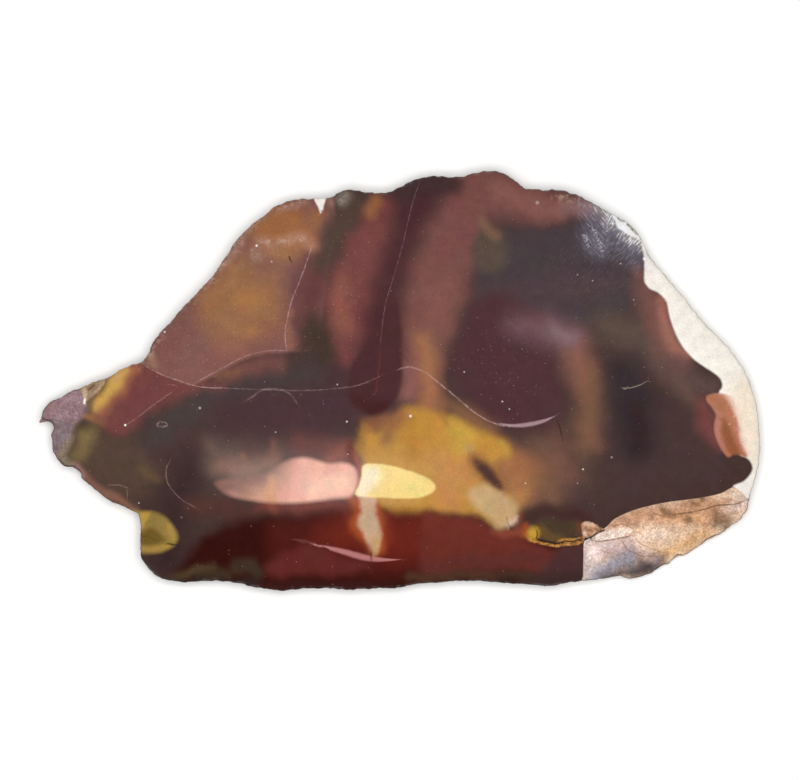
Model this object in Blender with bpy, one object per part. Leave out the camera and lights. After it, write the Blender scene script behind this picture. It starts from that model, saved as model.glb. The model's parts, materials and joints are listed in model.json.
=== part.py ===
"""A polished slab of mookaite jasper, lying on its sawn back.

The slab is one solid. Its back is flat, its rim is broken rock, and its face is a low polished dome that
rolls over towards the rim, widest along the base. Two places on the face were never polished: a fracture
floor at the lower right, a ledge below the polish, and the weathered left tip.

Frame: +X along the slab's length, +Y towards the top of the face as it is seen, +Z up out of the face.
The origin is on the back, under the middle of the slab.
"""

import math

import bmesh
import bpy
import numpy as np
from mathutils import Vector, geometry, noise

# Driving dimensions, in metres.
SLAB_LENGTH = 0.115
CROWN_HEIGHT = 0.0088
CROWN_DROP = 0.0007
UNDULATION = 0.00005
UNDULATION_SPAN = 0.024

# How far the polish rolls over before the rim, and how much it falls, on the base and elsewhere.
BASE_ROLL_WIDTH = 0.0125
BASE_ROLL_DROP = 0.0026
SIDE_ROLL_WIDTH = 0.0052
SIDE_ROLL_DROP = 0.0011
ROLL_POWER = 2.2
# How squarely the rim has to face the base before the wide roll begins, and until it is complete.
BASE_FACING = (0.25, 0.85)

# The unpolished floors: the step down at their edge, and their fall over one reference distance.
LEDGE_WIDTH = 0.0005
FLOOR_REACH = 0.008
FRACTURE_STEP = 0.0005
FRACTURE_FALL = 0.0021
TIP_STEP = 0.0003
TIP_FALL = 0.0012
FLOOR_ROUGHNESS = 0.00022
FLOOR_GRAIN = 0.0021
LUMPS_FULL_AT = 0.0015

# The rim's wall.
EDGE_RADIUS = 0.00035
BACK_CHAMFER = 0.0003
FLAKE_SPAN = 0.0052
FLAKE_DEPTH = 0.0011
FLAKE_REACH = 0.75
LEAN_SPAN = 0.021
LEAN_SHARE = 0.55
# Height as a share of the rim's own, inset, and rounds of smoothing, for each ring down the wall.
WALL_RINGS = (
    (0.86, 0.00010, 2), (0.69, 0.00025, 4), (0.51, 0.00045, 7), (0.32, 0.00070, 10), (0.14, 0.00095, 13),
)
BACK_INSET = 0.00115
BACK_SMOOTHING = 16

# Mesh spacing.
RIM_STEP = 0.00095
FACE_STEP = 0.0021
CURVE_SAMPLES = 14
# The nearest that a filling point or a ledge line comes to another line.
LINE_CLEARANCE = 0.00075
# Points nearer than this are the same point.
SAME_POINT = 1e-6
SHARP_ANGLE = math.radians(35)

# Outlines are drawn in pixels of the 800 x 780 photograph, x to the right and y down.
TRACE_LEFT = 40.5
TRACE_RIGHT = 759.5
TRACE_MIDDLE = (400.0, 380.6)
PIXEL = SLAB_LENGTH / (TRACE_RIGHT - TRACE_LEFT)

# The rim seen from above, clockwise from the left tip.
RIM_TRACE = (
    # left tip and the slope up to the notch
    (40.5, 421.5), (42, 413), (46, 405.5), (51, 402), (60, 397.5), (72, 391.2), (82, 388), (90, 384),
    (99, 380.2), (105, 379.8), (112, 376.3), (122, 369), (132, 364.6), (141, 361.5), (145, 360),
    # long upper left slope
    (146.5, 355.5), (150.5, 350.5), (152.5, 345), (157, 337), (163, 329.5), (170, 323), (180, 311),
    (188, 300), (200, 288.6), (209, 280.6), (216, 271.5), (224, 259.5), (233, 246), (241, 235.5),
    (248, 228), (262, 217), (269, 211.5), (279, 205), (290, 200.8), (303, 199),
    # crest
    (318, 198.8), (329, 197.8), (338, 193.5), (344, 189.6), (352, 190), (362, 191.7), (377, 193.3),
    (391, 191.8), (400, 187), (410, 182), (423, 177.6), (437, 176), (450, 177.3), (462, 175.8),
    (473, 172), (485, 171.2), (497, 171), (506, 174.3), (514, 179.5), (521, 186.5), (527, 189),
    (541, 189.9), (556, 190), (570, 193), (588, 200.5), (604, 210), (619, 218),
    # right shoulder and the cream curve
    (630, 224.5), (638, 234), (644, 245), (651, 259), (667, 278), (685, 299), (703, 322), (714, 333),
    (725, 344.5), (736, 358), (745, 372), (751, 387), (756, 405), (758.5, 424), (759.5, 443),
    (758.5, 462), (755, 478), (750, 491), (746.5, 502),
    # broken lower right
    (742, 510), (739, 517.5), (731, 525), (716, 535), (703, 542), (691, 550), (676, 557), (667, 564),
    (655, 571), (644, 574.5), (630, 578), (621, 575.2),
    # base
    (606, 577.4), (590, 579.5), (574, 581.5), (562, 584), (551, 586), (536, 585), (514, 582.8),
    (488, 581.6), (468, 580.6), (444, 581.2), (424, 583.5), (410, 585), (399, 587.6), (380, 588),
    (366, 588.8), (350, 589.2), (332, 588.3), (308, 588.4), (294, 589.3), (283, 590.4), (270, 589.8),
    (262, 587.6), (254, 587), (246, 584.6), (232, 582.3), (218, 580.6), (200, 581), (174, 580.2),
    # rounded lower left corner and the flank
    (160, 577), (151, 571.5), (144.5, 563), (141.3, 553), (140.5, 538), (140, 522), (138, 513.5),
    (130, 509.3), (120, 503.5), (111, 500), (100, 491.5), (91, 484.5), (83, 479), (76, 469.3),
    # weathered end, below the tip
    (71, 467.3), (66.5, 469.4), (60, 461), (53.5, 451), (51.8, 440), (51.3, 433.5), (54, 429),
    (53.6, 424.6), (47.5, 421.6),
)

# Where the polish ends at the lower right, from the base round to the right rim.
FRACTURE_EDGE = (
    (583, 590), (583.2, 575), (583.5, 558), (584, 543), (588, 538), (597, 532.5), (607, 525.5),
    (614, 518.5), (626, 512.3), (640, 507.3), (655, 503.7), (672, 500.6), (690, 498.4), (708, 495.6),
    (722, 492), (733, 487.5), (741, 492), (752, 503),
)
FRACTURE_BEYOND = ((780, 503), (780, 610), (583, 610))

# Where the polish ends at the left tip, from the top rim round to the lower one.
TIP_EDGE = (
    (79, 378), (82.5, 390), (85, 399), (86.5, 408), (83, 416.5), (77.5, 425), (73.5, 436), (69.5, 447),
    (66.5, 455), (71, 461.5), (78.5, 466), (82, 475),
)
TIP_BEYOND = ((60, 490), (20, 490), (20, 378))

# Polish over the dark plum body, as the stone shows it.
STONE_COLOUR = (0.145, 0.045, 0.040, 1.0)
STONE_ROUGHNESS = 0.18


def to_plan(trace):
    """Points of the photograph as plan positions, in metres."""
    middle_x, middle_y = TRACE_MIDDLE
    return np.array([((x - middle_x) * PIXEL, (middle_y - y) * PIXEL) for x, y in trace])


def smooth_curve(points, closed):
    """A Catmull-Rom curve through the points, finely sampled."""
    count = len(points)
    spans = count if closed else count - 1
    share = np.linspace(0.0, 1.0, CURVE_SAMPLES, endpoint=False)[:, None]
    pieces = []
    for i in range(spans):
        if closed:
            before, start, end, after = (points[(i + k) % count] for k in (-1, 0, 1, 2))
        else:
            before, start, end, after = (points[min(max(i + k, 0), count - 1)] for k in (-1, 0, 1, 2))
        pieces.append(
            0.5
            * (
                2 * start
                + (end - before) * share
                + (2 * before - 5 * start + 4 * end - after) * share**2
                + (3 * start - before - 3 * end + after) * share**3
            )
        )
    if not closed:
        pieces.append(points[-1:])
    return np.concatenate(pieces)


def evenly_spaced(curve, step, closed):
    """The curve walked at one spacing, as near to step as its length allows."""
    if closed:
        curve = np.vstack([curve, curve[:1]])
    run = np.concatenate([[0.0], np.cumsum(np.linalg.norm(np.diff(curve, axis=0), axis=1))])
    count = int(round(run[-1] / step))
    stops = np.linspace(0.0, run[-1], count + 1)
    if closed:
        stops = stops[:-1]
    return np.column_stack([np.interp(stops, run, curve[:, k]) for k in range(2)])


def smoothed_loop(loop, rounds):
    """A closed loop with its corners relaxed, which keeps every inner ring clear of the ring above."""
    for _ in range(rounds):
        loop = 0.5 * loop + 0.25 * (np.roll(loop, 1, axis=0) + np.roll(loop, -1, axis=0))
    return loop


def outward_normals(loop):
    """Unit normals of a clockwise loop, pointing away from the rock."""
    along = np.roll(loop, -1, axis=0) - np.roll(loop, 1, axis=0)
    normals = np.column_stack([-along[:, 1], along[:, 0]])
    return normals / np.linalg.norm(normals, axis=1)[:, None]


def distance_to_line(points, line, closed):
    """Distance from each point to a polyline, and the index of its nearest segment."""
    ends = np.roll(line, -1, axis=0) if closed else line[1:]
    starts = line if closed else line[:-1]
    spans = ends - starts
    length_squared = np.maximum((spans**2).sum(axis=1), 1e-18)
    offset = points[:, None, :] - starts[None, :, :]
    share = np.clip((offset * spans).sum(axis=2) / length_squared, 0.0, 1.0)
    gaps = np.linalg.norm(offset - share[:, :, None] * spans, axis=2)
    nearest = gaps.argmin(axis=1)
    return gaps[np.arange(len(points)), nearest], nearest


def inside(points, polygon):
    """True for each point that lies inside the polygon."""
    ends = np.roll(polygon, -1, axis=0)
    found = np.zeros(len(points), bool)
    for (x0, y0), (x1, y1) in zip(polygon, ends):
        crosses = (y0 > points[:, 1]) != (y1 > points[:, 1])
        if y0 != y1:
            at_x = x0 + (points[:, 1] - y0) * (x1 - x0) / (y1 - y0)
            found ^= crosses & (points[:, 0] < at_x)
    return found


def ramp(value):
    """A smooth step from 0 to 1."""
    value = np.clip(value, 0.0, 1.0)
    return value * value * (3.0 - 2.0 * value)


def noise_at(points, span):
    """Smooth noise from -1 to 1 whose lumps are about span across."""
    return np.array([noise.noise(Vector((x / span, y / span, 0.0))) for x, y in points])


class Floor:
    """A part of the face that was never polished: a step below the polish, falling towards the rim."""

    def __init__(self, edge, beyond, step, fall):
        self.edge = evenly_spaced(smooth_curve(to_plan(edge), False), RIM_STEP, False)
        self.polygon = np.vstack([self.edge, to_plan(beyond)])
        self.step = step
        self.fall = fall

    def drop(self, points):
        """How far the floor lies below the polish at each point."""
        gap, _ = distance_to_line(points, self.edge, False)
        within = inside(points, self.polygon) & (gap > SAME_POINT)
        lumps = FLOOR_ROUGHNESS * noise_at(points, FLOOR_GRAIN) * ramp(gap / LUMPS_FULL_AT)
        fall = self.step * ramp(gap / LEDGE_WIDTH) + self.fall * gap / FLOOR_REACH + lumps
        return np.where(within, fall, 0.0)

    def ledge_lines(self, rim):
        """The ledge's lip and foot, as far as they stay clear of the rim."""
        along = np.gradient(self.edge, axis=0)
        across = np.column_stack([along[:, 1], -along[:, 0]])
        across /= np.linalg.norm(across, axis=1)[:, None]
        probe = self.edge + across * LEDGE_WIDTH
        inwards = inside(probe, self.polygon).mean() > 0.5
        foot = self.edge + across * (LEDGE_WIDTH if inwards else -LEDGE_WIDTH)
        return [clear_of_rim(line, rim) for line in (self.edge, foot)]


def clear_of_rim(line, rim):
    """The points of a line that lie inside the rim and clear of it."""
    gap, _ = distance_to_line(line, rim, True)
    return line[inside(line, rim) & (gap > LINE_CLEARANCE)]


def face_heights(points, rim, normals, floors):
    """Height of the face at each plan point: a crown that rolls over at the rim, less the floors."""
    half_length, half_width = np.abs(rim).max(axis=0)
    crown = CROWN_DROP * ((points[:, 0] / half_length) ** 2 + (points[:, 1] / half_width) ** 2)
    gap, nearest = distance_to_line(points, rim, True)
    facing_from, facing_to = BASE_FACING
    base = ramp((-normals[nearest, 1] - facing_from) / (facing_to - facing_from))
    width = SIDE_ROLL_WIDTH + (BASE_ROLL_WIDTH - SIDE_ROLL_WIDTH) * base
    depth = SIDE_ROLL_DROP + (BASE_ROLL_DROP - SIDE_ROLL_DROP) * base
    roll = depth * np.clip(1.0 - gap / width, 0.0, 1.0) ** ROLL_POWER
    waves = UNDULATION * noise_at(points, UNDULATION_SPAN)
    return CROWN_HEIGHT - crown - roll + waves - sum(floor.drop(points) for floor in floors)


def face_points(edge_loop, lines):
    """Points that fill the face between its edge and the ledge lines, on a triangular pattern."""
    low, high = edge_loop.min(axis=0), edge_loop.max(axis=0)
    row_height = FACE_STEP * math.sqrt(3) / 2
    rows = int((high[1] - low[1]) / row_height) + 1
    columns = int((high[0] - low[0]) / FACE_STEP) + 2
    pattern = np.array(
        [
            (low[0] + (column + 0.5 * (row % 2)) * FACE_STEP, low[1] + row * row_height)
            for row in range(rows)
            for column in range(columns)
        ]
    )
    pattern = pattern[inside(pattern, edge_loop)]
    keep = distance_to_line(pattern, edge_loop, True)[0] > LINE_CLEARANCE
    for line in lines:
        keep &= distance_to_line(pattern, line, False)[0] > LINE_CLEARANCE
    return pattern[keep]


def triangulated_face(edge_loop, lines):
    """The face as flat triangles: (plan points, faces), with the edge loop's points first."""
    filling = face_points(edge_loop, lines)
    points = np.vstack([edge_loop, *lines, filling])
    count = len(edge_loop)
    edges = [(i, (i + 1) % count) for i in range(count)]
    start = count
    for line in lines:
        edges += [(start + i, start + i + 1) for i in range(len(line) - 1)]
        start += len(line)
    vectors = [Vector((float(x), float(y))) for x, y in points]
    border = [list(range(count))]
    plan, _, faces, *_ = geometry.delaunay_2d_cdt(vectors, edges, border, 1, SAME_POINT)
    return np.array([tuple(point) for point in plan]), faces


def flake_scars(loop, heights):
    """Depth of the hollows that flakes left in the broken wall, deepest in the middle of each."""
    depths = []
    for (x, y), z in zip(loop, heights):
        distances, _ = noise.voronoi(Vector((x, y, z)) / FLAKE_SPAN)
        depths.append(FLAKE_DEPTH * max(0.0, 1.0 - distances[0] / FLAKE_REACH))
    return np.array(depths)


def wall_rings(rim, normals, rim_heights):
    """The rings of the broken wall below the face's edge, from the widest one to the one on the back."""
    rings = [np.column_stack([rim, rim_heights - EDGE_RADIUS])]
    lean = 1.0 + LEAN_SHARE * noise_at(rim, LEAN_SPAN)
    for share, inset, rounds in WALL_RINGS:
        heights = rim_heights * share
        loop = smoothed_loop(rim, rounds)
        loop = loop - normals * (inset * lean + flake_scars(loop, heights))[:, None]
        rings.append(np.column_stack([loop, heights]))
    back = smoothed_loop(rim, BACK_SMOOTHING)
    for chamfer, height in ((0.0, BACK_CHAMFER), (BACK_CHAMFER, 0.0)):
        loop = back - outward_normals(back) * (BACK_INSET * lean + chamfer)[:, None]
        rings.append(np.column_stack([loop, np.full(len(rim), height)]))
    return rings


def slab_mesh():
    """The whole slab as one closed mesh."""
    curve = smooth_curve(to_plan(RIM_TRACE), True)
    rim = evenly_spaced(curve, RIM_STEP, True)
    rim -= (rim.min(axis=0) + rim.max(axis=0)) / 2
    normals = outward_normals(smoothed_loop(rim, 2))
    floors = (
        Floor(FRACTURE_EDGE, FRACTURE_BEYOND, FRACTURE_STEP, FRACTURE_FALL),
        Floor(TIP_EDGE, TIP_BEYOND, TIP_STEP, TIP_FALL),
    )
    edge_loop = rim - normals * EDGE_RADIUS
    lines = [line for floor in floors for line in floor.ledge_lines(edge_loop)]
    plan, faces = triangulated_face(edge_loop, lines)
    heights = face_heights(plan, rim, normals, floors)

    shape = bmesh.new()
    top = [shape.verts.new((x, y, z)) for (x, y), z in zip(plan, heights)]
    for face in faces:
        shape.faces.new([top[i] for i in face])
    upper = top[: len(rim)]
    rim_heights = face_heights(rim, rim, normals, floors)
    for ring in wall_rings(rim, normals, rim_heights):
        lower = [shape.verts.new(tuple(position)) for position in ring]
        for i in range(len(rim)):
            after = (i + 1) % len(rim)
            shape.faces.new((upper[i], upper[after], lower[after], lower[i]))
        upper = lower
    shape.faces.new(upper)
    bmesh.ops.recalc_face_normals(shape, faces=shape.faces)
    mesh = bpy.data.meshes.new("jasper_slab")
    shape.to_mesh(mesh)
    shape.free()
    return mesh


def stone_material():
    """Polished jasper, in the plum that most of the body has."""
    material = bpy.data.materials.new("polished_jasper")
    material.use_nodes = True
    surface = material.node_tree.nodes["Principled BSDF"]
    surface.inputs["Base Color"].default_value = STONE_COLOUR
    surface.inputs["Roughness"].default_value = STONE_ROUGHNESS
    surface.inputs["Metallic"].default_value = 0.0
    return material


def clear_scene():
    for item in list(bpy.data.objects):
        bpy.data.objects.remove(item, do_unlink=True)


def main():
    clear_scene()
    mesh = slab_mesh()
    mesh.materials.append(stone_material())
    mesh.shade_smooth()
    mesh.set_sharp_from_angle(angle=SHARP_ANGLE)
    slab = bpy.data.objects.new("jasper_slab", mesh)
    bpy.context.scene.collection.objects.link(slab)


main()
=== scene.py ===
"""Mookaite jasper slab: its polished and broken stone, and the stage that shows it.

The slab lies on its sawn back with its polished face up. Its colours run right through the stone, so they
are laid out as soft clouds and crisp regions seen from above, and lean a little as they go down to the back.
Some of them are painted light: a lens-shaped painted highlight with painted glow and reflection veils round
it, painted glare on a hazy spot and on the frosted corner, a painted crescent highlight on the base, a rim
chip painted white as a highlight, painted glints, pale scuffs that are partly a painted highlight, and a
painted dark shade line round the rim.
"""

import json
import math

import bmesh
import bpy
import numpy as np
from mathutils import Matrix, Vector, kdtree

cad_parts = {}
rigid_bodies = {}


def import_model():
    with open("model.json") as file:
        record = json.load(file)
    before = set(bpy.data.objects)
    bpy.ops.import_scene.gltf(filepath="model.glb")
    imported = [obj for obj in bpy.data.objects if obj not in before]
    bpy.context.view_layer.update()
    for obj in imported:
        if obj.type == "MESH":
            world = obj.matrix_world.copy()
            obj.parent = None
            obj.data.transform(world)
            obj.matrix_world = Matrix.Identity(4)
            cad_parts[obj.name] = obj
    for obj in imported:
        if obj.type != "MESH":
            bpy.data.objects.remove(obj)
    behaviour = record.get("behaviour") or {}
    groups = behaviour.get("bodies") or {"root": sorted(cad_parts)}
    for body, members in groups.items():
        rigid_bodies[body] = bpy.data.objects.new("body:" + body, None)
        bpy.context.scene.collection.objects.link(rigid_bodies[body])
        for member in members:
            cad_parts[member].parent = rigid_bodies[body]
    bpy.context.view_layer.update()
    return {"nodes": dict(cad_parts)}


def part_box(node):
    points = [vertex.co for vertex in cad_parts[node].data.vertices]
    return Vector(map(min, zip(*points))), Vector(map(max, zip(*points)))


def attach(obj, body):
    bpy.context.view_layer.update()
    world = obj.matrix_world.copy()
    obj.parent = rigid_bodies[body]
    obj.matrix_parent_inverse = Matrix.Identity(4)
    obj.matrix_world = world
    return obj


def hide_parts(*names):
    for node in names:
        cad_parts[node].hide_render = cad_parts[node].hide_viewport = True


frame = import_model()

bl_info = {
    "name": "Mookaite Jasper Slab",
    "version": (1, 0, 0),
    "blender": (4, 5, 0),
    "location": "3D View > Sidebar > Jasper",
    "description": "Polished jasper slab with its colour regions, veins and broken rim, and a stage for it",
    "category": "Object",
}

NODE = "jasper_slab"
PIECE = "polished_slab"
BODY = "root"
MILLIMETRE = 0.001

# Places are drawn in pixels of the 800 x 780 photograph, x to the right and y down.
PHOTO_WIDTH = 800
TRACE_LEFT = 40.5
TRACE_RIGHT = 759.5
TRACE_MIDDLE = (400.0, 380.6)
# The camera stands over this pixel, and one pixel is PIXEL wide at the height of the slab's rim.
VIEW_MIDDLE = (400.0, 390.0)
RIM_HEIGHT = 0.0065
FOCAL_LENGTH = 180.0
SENSOR_WIDTH = 36.0

slab_low, slab_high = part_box(NODE)
PIXEL = (slab_high.x - slab_low.x) / (TRACE_RIGHT - TRACE_LEFT)
VIEW_DISTANCE = PHOTO_WIDTH * PIXEL * FOCAL_LENGTH / SENSOR_WIDTH
# Past this many pixels from a region's edge, or from a line, the distance no longer matters.
EDGE_REACH = 12.0
LINE_REACH = 30.0


def to_plan(x, y):
    """A pixel of the photograph as a place on the slab, in metres."""
    return (x - TRACE_MIDDLE[0]) * PIXEL, (TRACE_MIDDLE[1] - y) * PIXEL


VIEW_CENTRE = to_plan(*VIEW_MIDDLE)


def to_pixels(x, y, height):
    """Where the camera sees a place of the slab, in pixels of the photograph."""
    near = VIEW_DISTANCE / (VIEW_DISTANCE + RIM_HEIGHT - height) / PIXEL
    return np.column_stack([
        VIEW_MIDDLE[0] + (x - VIEW_CENTRE[0]) * near,
        VIEW_MIDDLE[1] - (y - VIEW_CENTRE[1]) * near,
    ])


CURVE_SAMPLES = 8
# Keeps a segment of no length from dividing by nought.
LEAST_SQUARE = 1e-18


def smooth_curve(points, closed):
    """A Catmull-Rom curve through the points."""
    points = np.array(points, float)
    first, last = (points[-1:], points[:2]) if closed else (points[:1], points[-1:])
    stops = np.concatenate([first, points, last])
    share = np.linspace(0.0, 1.0, CURVE_SAMPLES, endpoint=False)[:, None]
    pieces = []
    for before, start, end, after in zip(stops, stops[1:], stops[2:], stops[3:]):
        pieces.append(0.5 * (2 * start + (end - before) * share
            + (2 * before - 5 * start + 4 * end - after) * share**2
            + (3 * start - before - 3 * end + after) * share**3))
    if not closed:
        pieces.append(points[-1:])
    return np.concatenate(pieces)


def to_segments(points, starts, ends):
    """For each point: distance to the nearest segment, that segment's index, and how far along it."""
    spans = ends - starts
    length_squared = np.maximum((spans**2).sum(axis=1), LEAST_SQUARE)
    offset = points[:, None, :] - starts[None, :, :]
    share = np.clip((offset * spans).sum(axis=2) / length_squared, 0.0, 1.0)
    gaps = np.linalg.norm(offset - share[:, :, None] * spans, axis=2)
    nearest = gaps.argmin(axis=1)
    rows = np.arange(len(points))
    return gaps[rows, nearest], nearest, share[rows, nearest]


def ramp(value):
    """A smooth step from 0 to 1."""
    value = np.clip(value, 0.0, 1.0)
    return value * value * (3.0 - 2.0 * value)


class Stroke:
    """A mark through stations of (x, y, half width), in pixels."""

    def __init__(self, *stations):
        self.stations = np.array(stations if len(stations) > 1 else stations * 2, float)
        reach = self.stations[:, 2].max()
        self.low = self.stations[:, :2].min(axis=0) - reach
        self.high = self.stations[:, :2].max(axis=0) + reach

    def depth(self, points):
        """How deep inside the mark each point lies, in pixels, and below zero outside it."""
        depth = np.full(len(points), -np.inf)
        for start, end in zip(self.stations, self.stations[1:]):
            gap, _, share = to_segments(points, start[None, :2], end[None, :2])
            depth = np.maximum(depth, start[2] + (end[2] - start[2]) * share - gap)
        return depth


class Outline:
    """A patch inside a smooth closed line, in pixels."""

    def __init__(self, *points):
        self.line = smooth_curve(points, True)
        self.low = self.line.min(axis=0)
        self.high = self.line.max(axis=0)

    def depth(self, points):
        """How deep inside the line each point lies, as for a stroke."""
        ends = np.roll(self.line, -1, axis=0)
        gap, _, _ = to_segments(points, self.line, ends)
        within = np.zeros(len(points), bool)
        for (x0, y0), (x1, y1) in zip(self.line, ends):
            if y0 != y1:
                crosses = (y0 > points[:, 1]) != (y1 > points[:, 1])
                within ^= crosses & (points[:, 0] < x0 + (points[:, 1] - y0) * (x1 - x0) / (y1 - y0))
        return np.where(within, gap, -gap)


def depth_inside(shapes, points, reach):
    """Depth inside the nearest of the shapes, in pixels, no lower than -reach."""
    depth = np.full(len(points), -reach)
    for shape in shapes:
        near = ((points > shape.low - reach) & (points < shape.high + reach)).all(axis=1)
        if near.any():
            depth[near] = np.maximum(depth[near], shape.depth(points[near]))
    return depth


# How far soft patches are pulled out of shape: (pixels, span in pixels, turn, start) of each wave.
DRIFT_WAVES = ((1.5, 8.0, 0.3, 0.4), (1.2, 5.3, 1.9, 2.2), (0.9, 3.4, 2.7, 4.1))


def drift(points):
    """The points moved a little, by slow waves, so that soft patches get uneven shapes."""
    moved = points.copy()
    for size, span, turn, start in DRIFT_WAVES:
        along = points @ np.array([math.cos(turn), math.sin(turn)])
        wave = size * np.sin(along / span + start)
        moved += wave[:, None] * np.array([-math.sin(turn), math.cos(turn)])
    return moved


class Patch:
    """A soft patch, whose edge fades over softness, in mm."""

    def __init__(self, softness, *shapes, strength=1.0):
        self.softness = softness * MILLIMETRE / PIXEL
        self.shapes = shapes
        self.strength = strength

    def share(self, points):
        """How much of the patch shows at each point, from 0 to its strength."""
        depth = depth_inside(self.shapes, points, self.softness)
        return self.strength * ramp(depth / self.softness + 0.5)


class Cloud(Patch):
    """A soft patch of one colour, which blends into what lies round it."""

    def __init__(self, colour, softness, *shapes, strength=1.0):
        super().__init__(softness, *shapes, strength=strength)
        self.colour = colour


def dab(colour, softness, *stations, strength=1.0):
    """A cloud of one stroke."""
    return Cloud(colour, softness, Stroke(*stations), strength=strength)


class Region:
    """A part of the stone with a crisp edge: its edge's softness and waver, in mm, and its clouds."""

    def __init__(self, name, colour, softness, waver, shapes, clouds=()):
        self.name = name
        self.colour = colour
        self.softness = softness * MILLIMETRE
        self.waver = waver * MILLIMETRE
        self.shapes = shapes
        self.clouds = clouds

    def depth(self, points):
        """Depth inside the region, in metres."""
        return depth_inside(self.shapes, points, EDGE_REACH) * PIXEL

    def blend(self, points, colours):
        """The region's colour at each point, from its clouds."""
        blend = np.tile(np.array(getattr(colours, self.colour)[:3]), (len(points), 1))
        for cloud in self.clouds:
            tint = np.array(getattr(colours, cloud.colour)[:3])
            blend += (tint - blend) * cloud.share(points)[:, None]
        return blend


def linear(value):
    """One sRGB channel, from 0 to 255, as linear light."""
    value = value / 255.0
    return value / 12.92 if value <= 0.04045 else ((value + 0.055) / 1.055) ** 2.4


def tone(label, red, green, blue):
    """A colour that a user can change, given by its sRGB channels."""
    return bpy.props.FloatVectorProperty(
        name=label, description=f"Colour of the {label.lower()}", subtype="COLOR", size=4, min=0.0, max=1.0,
        default=(linear(red), linear(green), linear(blue), 1.0),
    )


def length(label, description, millimetres):
    """A length that a user can change."""
    return bpy.props.FloatProperty(
        name=label, description=description, default=millimetres * MILLIMETRE, min=0.0, unit="LENGTH",
        precision=5,
    )


def number(label, description, value, top=1.0):
    """A plain number that a user can change."""
    return bpy.props.FloatProperty(name=label, description=description, default=value, min=0.0, max=top)
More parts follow.
